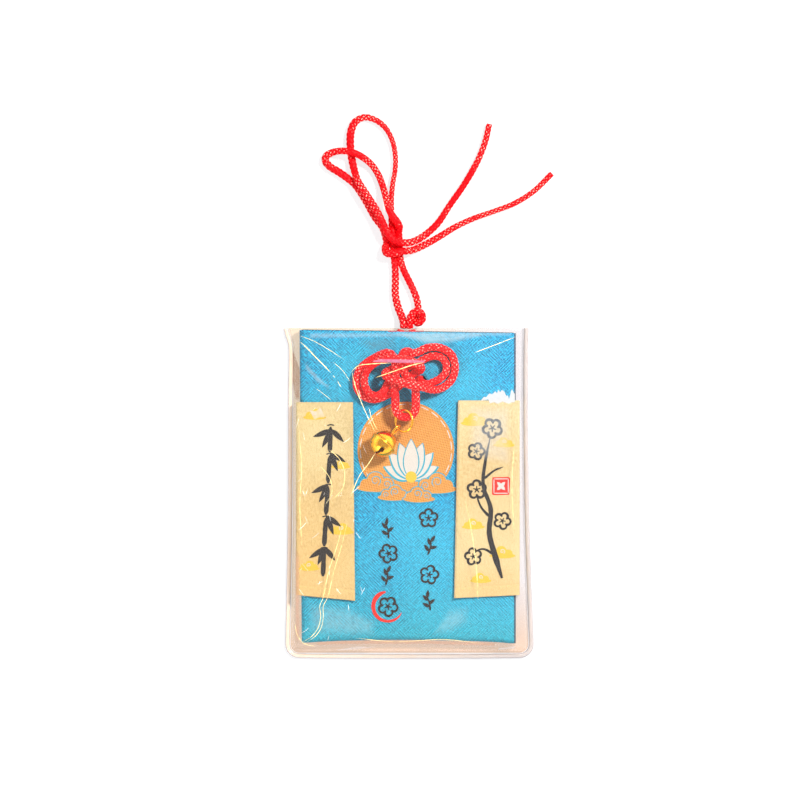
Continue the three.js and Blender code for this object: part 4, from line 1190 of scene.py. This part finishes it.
RING_RADIUS = 2.5 * MM
RING_WIRE = 0.5 * MM
RING_TILT = math.radians(39.6)
RING_TURN = Matrix.Rotation(-RING_TILT, 3, "Y")
RING_OPENING = 4
RING_OPENING_AT = -35
RING_CENTRE = Vector((-1.03 * MM, MOUTH - 20.88 * MM, CLOTH_TOP + BEND_LIFT * MM))
BELL_RADIUS = 3.1 * MM
BELL_WALL = 0.35 * MM
BELL_FLANGE = 0.22 * MM
BELL_FLANGE_THICKNESS = 0.16 * MM
BELL_SEAM = 0.025 * MM
BELL_SLOT_WIDTH = 0.6 * MM
BELL_SLOT_REACH = 2.25 * MM
BELL_HOLE_RADIUS = 0.58 * MM
BELL_ROLL = math.radians(53)
BELL_CENTRE = Vector((-5.82 * MM, MOUTH - 26.18 * MM, CLOTH_TOP + 0.1 * MM + BELL_RADIUS + BELL_FLANGE / 2))
BAIL_WIRE = 0.5 * MM
BAIL_RADIUS = 0.85 * MM
BAIL_SLACK = 0.12 * MM
BAIL_FOOT = 0.42 * MM
BAIL_OPENING = 8.4
BAIL_STEP = 0.12 * MM
BOWL_SIDES = 72
RING_STEPS = 96


def jump_ring():
    turns = arc(0, 0, RING_RADIUS, RING_OPENING_AT + RING_OPENING / 2, 360 - RING_OPENING, RING_STEPS)
    path = [RING_TURN @ Vector((x, y, 0)) + RING_CENTRE for x, y in turns]
    ring = tube("jump_ring_wire", path, lambda share: RING_WIRE / 2, 18, "wire", "ring", "gilt_metal")
    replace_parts(ring, "jump_ring")


def bell_frame():
    """The bell's own axes, with the long one from its middle to the ring's wire, and that distance."""
    to_bell = BELL_CENTRE - RING_CENTRE
    turn = math.atan2(to_bell.y, to_bell.x / math.cos(RING_TILT))
    link = RING_TURN @ Vector((math.cos(turn), math.sin(turn), 0)) * RING_RADIUS + RING_CENTRE
    tangent = RING_TURN @ Vector((-math.sin(turn), math.cos(turn), 0))
    axis = link - BELL_CENTRE
    reach = axis.length
    axis.normalize()
    across = (tangent - axis * tangent.dot(axis)).normalized()
    basis = Matrix((across, axis.cross(across), axis)).transposed().to_4x4()
    return Matrix.Translation(BELL_CENTRE) @ basis, reach


BELL_PLACE, BELL_REACH = bell_frame()


def bowl_profile():
    """Half of the bell from its top, over the rolled flange, and back up the inside."""
    half = BELL_FLANGE_THICKNESS / 2
    inside = BELL_RADIUS - BELL_WALL
    lip = math.degrees(math.asin((BELL_SEAM + BELL_FLANGE_THICKNESS) / BELL_RADIUS))
    seam = math.degrees(math.asin(BELL_SEAM / inside))
    profile = arc(0, 0, BELL_RADIUS, 90, lip - 90, 20)
    profile += arc(BELL_RADIUS + BELL_FLANGE - half, BELL_SEAM + half, half, 90, -180, 6)
    return profile + arc(0, 0, inside, seam, 90 - seam, 14)


def bowl(name, place):
    """Half of the bell: its profile, which starts and ends on the axis, turned about the axis."""
    profile = bowl_profile()
    points, faces = [], []
    inner = profile[1:-1]
    count, top = len(inner), BOWL_SIDES * len(inner)
    for i in range(BOWL_SIDES):
        turn = 2 * math.pi * i / BOWL_SIDES
        points += [place @ Vector((r * math.cos(turn), r * math.sin(turn), z)) for r, z in inner]
        a, b = i * count, (i + 1) % BOWL_SIDES * count
        faces += [[a + j, a + j + 1, b + j + 1, b + j] for j in range(count - 1)]
        faces += [[top, a, b], [top + 1, b + count - 1, a + count - 1]]
    points += [place @ Vector((0, 0, z)) for _, z in (profile[0], profile[-1])]
    return new_piece(name, points, faces, "gilt", "bell", "gilt_metal")


def cut_slot(piece, place):
    """A slot across the bowl's end, with a round hole at each end of it."""
    work = bmesh.new()
    depth = BELL_RADIUS + 1 * MM
    bar = Matrix.Diagonal((2 * BELL_SLOT_REACH, BELL_SLOT_WIDTH, depth, 1))
    bmesh.ops.create_cube(work, size=1, matrix=place @ Matrix.Translation((0, 0, depth / 2)) @ bar)
    for side in (-1, 1):
        spot = Matrix.Translation((side * BELL_SLOT_REACH, 0, depth / 2 + 0.1 * MM))
        cylinder(work, BELL_HOLE_RADIUS, depth, place @ spot, 32)
    subtract(piece, work)


def bell():
    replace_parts(bowl("bell_upper_bowl", BELL_PLACE), "bell_upper_shell")
    flip = BELL_PLACE @ Matrix.Rotation(math.pi, 4, "X") @ Matrix.Rotation(BELL_ROLL, 4, "Z")
    lower = bowl("bell_lower_bowl", flip)
    cut_slot(lower, flip)
    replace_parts(lower, "bell_lower_shell")


def bail():
    loop = BELL_REACH + RING_WIRE / 2 + BAIL_WIRE / 2 + BAIL_SLACK - BAIL_RADIUS
    foot = BELL_RADIUS + BAIL_WIRE / 4
    turn = arc(0, loop, BAIL_RADIUS, 180 + BAIL_OPENING, -180 - 2 * BAIL_OPENING, 10)
    places = [Vector((0, y, z)) for y, z in [(-BAIL_FOOT, foot), *turn, (BAIL_FOOT, foot)]]
    path = [BELL_PLACE @ point for point in even_path(places, BAIL_STEP)]
    wire = tube("bail_wire", path, lambda share: BAIL_WIRE / 2, 16, "wire", "bell", "gilt_metal")
    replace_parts(wire, "bell_bail")


jump_ring()
bell()
bail()
dress("bell_clapper", "steel").shade_smooth()


# Woven motifs, in millimetres on the cloth; a motif's level counts thicknesses over the lowest ones

PRINT_THICKNESS = 0.03 * MM
PRINT_SINK = 0.02 * MM
STROKE_STEP = 0.25


class Ribbon(list):
    """An outline whose second half runs back along its first, so that it fills as a strip."""


def disc(x, y, radius, count):
    return arc(x, y, radius, 0, 360, count)[:-1]


def moved(outline, x, y, turn):
    """The outline turned by degrees and shifted."""
    cos, sin = math.cos(math.radians(turn)), math.sin(math.radians(turn))
    return type(outline)((x + px * cos - py * sin, y + px * sin + py * cos) for px, py in outline)


def leaf(length, width, bend=0.0):
    """A pointed leaf or petal from the origin up."""
    left, right = [], []
    for i in range(13):
        share = i / 12
        half = width / 2 * math.sin(math.pi * share ** 0.8) ** 0.85 if 0 < share < 1 else 0
        sway = bend * length * share * share
        left.append((sway - half, share * length))
        right.append((sway + half, share * length))
    return right + left[-2:0:-1]


def stroke(places, width, start=1.0, end=1.0):
    """A brush stroke: a ribbon along a smooth line, whose width runs from start to end shares."""
    line = even_path([Vector((x, y, 0)) for x, y in places], STROKE_STEP)
    left, right = [], []
    for i, point in enumerate(line):
        along = direction(line, i)
        share = i / (len(line) - 1)
        tip = min(1.0, 0.35 + 5 * share, 0.35 + 5 * (1 - share))
        half = width / 2 * lerp(start, end, share) * (1 + 0.12 * noise.noise(point * 0.9)) * tip
        left.append((point.x - along.y * half, point.y + along.x * half))
        right.append((point.x + along.y * half, point.y - along.x * half))
    return Ribbon(right + left[::-1])


def ground(side, x, y):
    """The cloth under a motif: the pouch's front for side 0, or a flap of the band."""
    return flap_height(side, x, y, FLAPS[side]["foot"][0]) + BAND_CLOTH / 2 if side else CLOTH_TOP


def motif(name, outlines, look, level=0.0, side=0):
    """Outlines woven into a cloth: thin raised pieces, each following the ground's height."""
    work = bmesh.new()
    for number, outline in enumerate(outlines):
        places = [(x * MM, y * MM) for x, y in outline]
        lift = PRINT_THICKNESS * (1 + level + 0.03 * number)
        top = [work.verts.new((x, y, ground(side, x, y) + lift)) for x, y in places]
        low = [work.verts.new((x, y, ground(side, x, y) - PRINT_SINK)) for x, y in places]
        if isinstance(outline, Ribbon):
            for i in range(len(top) // 2 - 1):
                work.faces.new([top[i], top[i + 1], top[-2 - i], top[-1 - i]])
                work.faces.new([low[-1 - i], low[-2 - i], low[i + 1], low[i]])
        else:
            work.faces.new(top)
            work.faces.new(low[::-1])
        for i in range(len(places)):
            j = (i + 1) % len(places)
            work.faces.new([top[j], top[i], low[i], low[j]])
    bmesh.ops.triangulate(work, faces=[f for f in work.faces if len(f.verts) > 4])
    bmesh.ops.recalc_face_normals(work, faces=work.faces)
    shown(name, mesh_of(name, work), look, "amulet")


def ink(name, parts, side=0, level=0.0, cycle=7):
    """Black strokes as separate pieces, at levels that differ a little."""
    for i, part in enumerate(parts):
        motif(f"{name}_{i + 1:02d}", [part], "black", level + 0.02 * (i % cycle), side)


def cloud(x, y, size, flip=1, grow=0.0):
    """A cloud of three round lobes over a long flat foot, grown all round by a rim."""
    lobes = ((-0.95, 0.12, 0.5), (-0.15, 0.44, 0.74), (0.82, 0.16, 0.55))
    parts = [disc(x + lx * size * flip, y + ly * size, radius * size + grow, 36) for lx, ly, radius in lobes]
    wide, high = 1.75 * size + grow, 0.36 * size + grow
    return parts + [[(x + wide * px, y - 0.14 * size + high * py) for px, py in disc(0, 0, 1, 48)]]


def curl(x, y, size, flip, width, end=1.0):
    """The spiral line inside a cloud's lobe."""
    places = []
    for i in range(14):
        turn, radius = math.radians(-60 + 38 * i), size * (1 - 0.062 * i)
        places.append((x + flip * radius * math.cos(turn), y + radius * math.sin(turn)))
    return stroke(places, width, 1, end)


def medallion():
    """An apricot roundel with an open lotus over curled clouds."""
    motif("roundel", [disc(-0.6, 9.9, 11.1, 96)], "orange")
    motif("roundel_rim", [stroke(arc(-0.6, 9.9, 10.5, 15 * k, 11, 8), 0.22) for k in range(24)], "ivory", 1)
    x, y = 0.6, 3.4
    petals = (
        (-66, 6.6, 2.7), (66, 6.6, 2.7), (-40, 7.6, 3.1), (40, 7.6, 3.1),
        (-18, 8.4, 3.2), (18, 8.4, 3.2), (0, 8.9, 3.3),
    )
    for i, (turn, length, width) in enumerate(petals):
        edge = moved(leaf(length + 0.5, width + 0.55), x, y - 0.25, turn)
        motif(f"lotus_edge_{i + 1}", [edge], "blue", 0.1 + 0.25 * i)
        motif(f"lotus_petal_{i + 1}", [moved(leaf(length, width), x, y, turn)], "ivory", 0.22 + 0.25 * i)
    motif("lotus_heart", [disc(x, y + 0.3, 1.3, 24)], "yellow", 1.9)
    banks = ((-7.2, 1.6, 2.7, 1), (6.2, 1.3, 2.8, -1), (-3.4, -0.7, 2.1, -1), (2.4, -1.1, 2.1, 1))
    for i, (x, y, size, flip) in enumerate(banks):
        motif(f"cloud_edge_{i + 1}", cloud(x, y, size, flip, 0.22), "blue", 2 + 0.4 * i)
        motif(f"cloud_bank_{i + 1}", cloud(x, y, size, flip), "orange", 2.13 + 0.4 * i)
        high = curl(x - 0.15 * size * flip, y + 0.46 * size, size * 0.48, flip, 0.24, 0.6)
        low = curl(x + 0.82 * size * flip, y + 0.16 * size, size * 0.34, flip, 0.2, 0.6)
        for k, line in enumerate((high, low)):
            motif(f"cloud_curl_{i + 1}_{k + 1}", [line], "blue", 2.26 + 0.4 * i)


def sprig(x, y, size, turn):
    """Four brushed leaves on a short stem."""
    parts = [stroke([(0, -size), (0.1 * size, 0), (0, 0.7 * size)], 0.16 * size + 0.2, 1, 0.5)]
    for angle, up in ((58, -0.5), (-55, -0.2), (40, 0.25), (-8, 0.6)):
        parts.append(moved(leaf(size * 0.95, size * 0.42, 0.12), 0.03 * size, up * size, angle))
    return [moved(part, x, y, turn) for part in parts]


def flower(x, y, radius, turn, brush):
    """A brushed five-petal blossom drawn as an outline, with its stamens."""
    parts = []
    for k in range(5):
        angle = turn + 72 * k
        ((px, py), _) = arc(x, y, 0.6 * radius, angle, 0, 1)
        ((tip_x, tip_y), _) = arc(x, y, 0.42 * radius, angle, 0, 1)
        parts.append(stroke(arc(px, py, 0.4 * radius, angle - 125, 250, 14), brush * radius, 1, 0.6))
        stamen = [(x, y), ((x + tip_x) / 2, (y + tip_y) / 2), (tip_x, tip_y)]
        parts.append(stroke(stamen, 0.09 * radius + 0.08))
    return parts + [disc(x, y, 0.16 * radius, 16)]


def flowers(rows, brush):
    return [part for row in rows for part in flower(*row, brush)]


def field_motifs():
    """Small ink motifs on the blue ground below the roundel."""
    parts = []
    for row in ((-4.9, -8.6, 1.9, 10), (4.9, -12.4, 1.9, -14), (-5, -19.4, 1.9, -8), (4.6, -25.2, 1.9, 12)):
        parts += sprig(*row)
    rows = ((4.6, -5.8, 2.1, 18), (-4.6, -13.9, 2.1, 40), (4.8, -18.8, 2.1, 5), (-4.7, -26.1, 2.2, 60))
    ink("field_ink", parts + flowers(rows, 0.28))
    motif("brush_ring", [stroke(arc(-4.7, -26.1, 3.4, 100, 235, 30), 0.85, 1.3, 0.45)], "red", 0.6)


def bamboo():
    """Ink bamboo on the left flap: jointed canes with leaves at the joints."""
    parts = []
    joints = [(-19.7, -19.5), (-19.4, -12.6), (-19.0, -5.4), (-18.5, 1.9), (-18.1, 9), (-17.9, 15.6)]
    for (x0, y0), (x1, y1) in zip(joints, joints[1:]):
        cane = [(x0, y0 + 0.35), ((x0 + x1) / 2, (y0 + y1) / 2), (x1, y1 - 0.35)]
        parts.append(stroke(cane, 1.15, 1, 0.85))
        parts.append(stroke([(x1 - 0.85, y1 - 0.1), (x1, y1 + 0.12), (x1 + 0.85, y1 - 0.05)], 0.3))
    leaves = [
        (-17.9, 14.6, ((118, 4.4), (-128, 4.2), (160, 4.6))), (-18.1, 9, ((-112, 4.1), (-150, 4.4))),
        (-18.5, 1.9, ((122, 4.3), (158, 4.6))), (-19, -5.4, ((-118, 4.2), (-152, 4.6))),
        (-19.4, -12.6, ((130, 4.2), (-134, 3.9), (165, 4.2))),
    ]
    for x, y, tuft in leaves:
        parts += [moved(leaf(length, 1.25, 0.1), x, y, turn) for turn, length in tuft]
    ink("bamboo", parts, -1, 0.7, 9)


def plum_branch():
    """An ink plum branch on the right flap."""
    branches = (
        ([(21.5, -19.6), (19.9, -14.4), (18.6, -9.2), (18.9, -3.6), (17.2, 1.8), (17.7, 7.4), (18.8, 12.8)],
         1.2, 1.25, 0.45),
        ([(18.8, -5.6), (16.8, -3.4), (15.7, -0.8)], 0.7, 1, 0.5),
        ([(17.3, 3.2), (19.8, 5.2), (21.8, 6)], 0.65, 1, 0.45),
        ([(19.8, -14.2), (17.3, -12.9), (15.6, -13.2)], 0.7, 1, 0.5),
    )
    parts = [stroke(*branch) for branch in branches]
    rows = (
        (15.7, 0.8, 2.1, 20), (19.3, 14.9, 2.2, 50), (15.6, 9.6, 1.9, 0), (14.9, -14.6, 1.9, 30),
        (21.6, -6.4, 1.9, 64),
    )
    ink("plum", parts + flowers(rows, 0.34), 1, 0.7, 9)


def seal():
    """A plain red square with a four-petal flower in a border."""
    x, y, half = 21.3, 1.6, 2.1
    block = [
        (x - half, y - half + 0.3), (x - half + 0.3, y - half), (x + half - 0.2, y - half + 0.1),
        (x + half, y + half - 0.4), (x + half - 0.4, y + half), (x - half + 0.1, y + half - 0.1),
    ]
    motif("seal_block", [block], "red", 0.7, 1)
    rim = half - 0.45
    corners = [(x - rim, y - rim), (x + rim, y - rim), (x + rim, y + rim), (x - rim, y + rim)]
    border = []
    for a, b in zip(corners, corners[1:] + corners[:1]):
        border.append(stroke([a, ((a[0] + b[0]) / 2, (a[1] + b[1]) / 2), b], 0.2))
    motif("seal_border", border, "ivory", 1.2, 1)
    motif("seal_petals", [moved(leaf(1.3, 0.8), x, y, 45 + 90 * k) for k in range(4)], "ivory", 1.2, 1)


def gold_clouds():
    """Faint maize clouds woven into the flaps."""
    for side, word, places in (
        (-1, "left", [(-21.6, 17.6, 1.5), (-15.4, -8.8, 1.6), (-22.9, -17.2, 1.4), (-15.6, 6.2, 1.3)]),
        (1, "right", [(15.2, 16.3, 1.8), (21.6, -14.2, 1.7), (14.9, -7.6, 1.5), (22, 11.2, 1.4),
                      (16.6, -20, 1.4)]),
    ):
        for i, (x, y, size) in enumerate(places):
            name = f"gold_cloud_{word}_{i + 1}"
            motif(name, cloud(x, y, size, side), "yellow", 0, side)
            motif(name + "_line", [curl(x, y + 0.45 * size, 0.36 * size, side, 0.16)], "ivory", 0.5, side)


def hem_stitches():
    """Stitches along the hem of each flap, sunk a little into the cloth."""
    for side, word in ((-1, "left"), (1, "right")):
        stitches = []
        for i in range(HEM_STITCHES):
            x, _, foot = flap_point(side, (i + 0.6) / (HEM_STITCHES + 0.2), 0)
            x, y = x / MM, (foot + HEM_DEPTH) / MM - 0.35
            stitches.append(stroke([(x - 0.32, y), (x, y + 0.03), (x + 0.32, y)], 0.24))
        motif(f"hem_stitches_{word}", stitches, "thread", 1.6, side)


medallion()
field_motifs()
bamboo()
plum_branch()
seal()
gold_clouds()
hem_stitches()


# Floor and light

FLOOR_SIZE = 2.4


def floor():
    half, low = FLOOR_SIZE / 2, -0.02 * MM
    mesh = bpy.data.meshes.new("floor")
    points = [(-half, -half, low), (half, -half, low), (half, half, low), (-half, half, low)]
    mesh.from_pydata(points, [], [(0, 1, 2, 3)])
    mesh.materials.append(M["floor"])
    linked("floor", mesh)


def lamp(name, place, size, watts, colour):
    data = bpy.data.lights.new(name, "AREA")
    data.shape = "DISK"
    data.size = size
    data.energy = watts
    data.color = linear(colour)[:3]
    light = linked(name, data)
    light.location = place
    light.rotation_euler = Vector(place).to_track_quat("Z", "Y").to_euler()


def sky():
    """Pale studio walls under a dim ceiling, so that the flat film doesn't mirror a bright ceiling.
    The gilt mirrors brighter walls, as it would those of a light tent."""
    t = Tree(bpy.data.worlds.new("studio"))
    up = t.split(t.add("TexCoord", output="Generated"))[2]
    fade = t.add("MapRange", up, 0.3, 0.8, 1.0, 0.35, settings={"interpolation_type": "SMOOTHSTEP"})
    strength = t.ray("Is Glossy Ray") * fade + fade
    bpy.context.scene.world = t.finish(t.add("Background", "#fbfbff", strength), "World")


floor()
lamp("key", (0.28, 0.26, 0.44), 0.1, 5.0, "#fffaf4")
lamp("fill", (-0.4, -0.4, 0.42), 0.4, 2.2, "#f6f8ff")
sky()
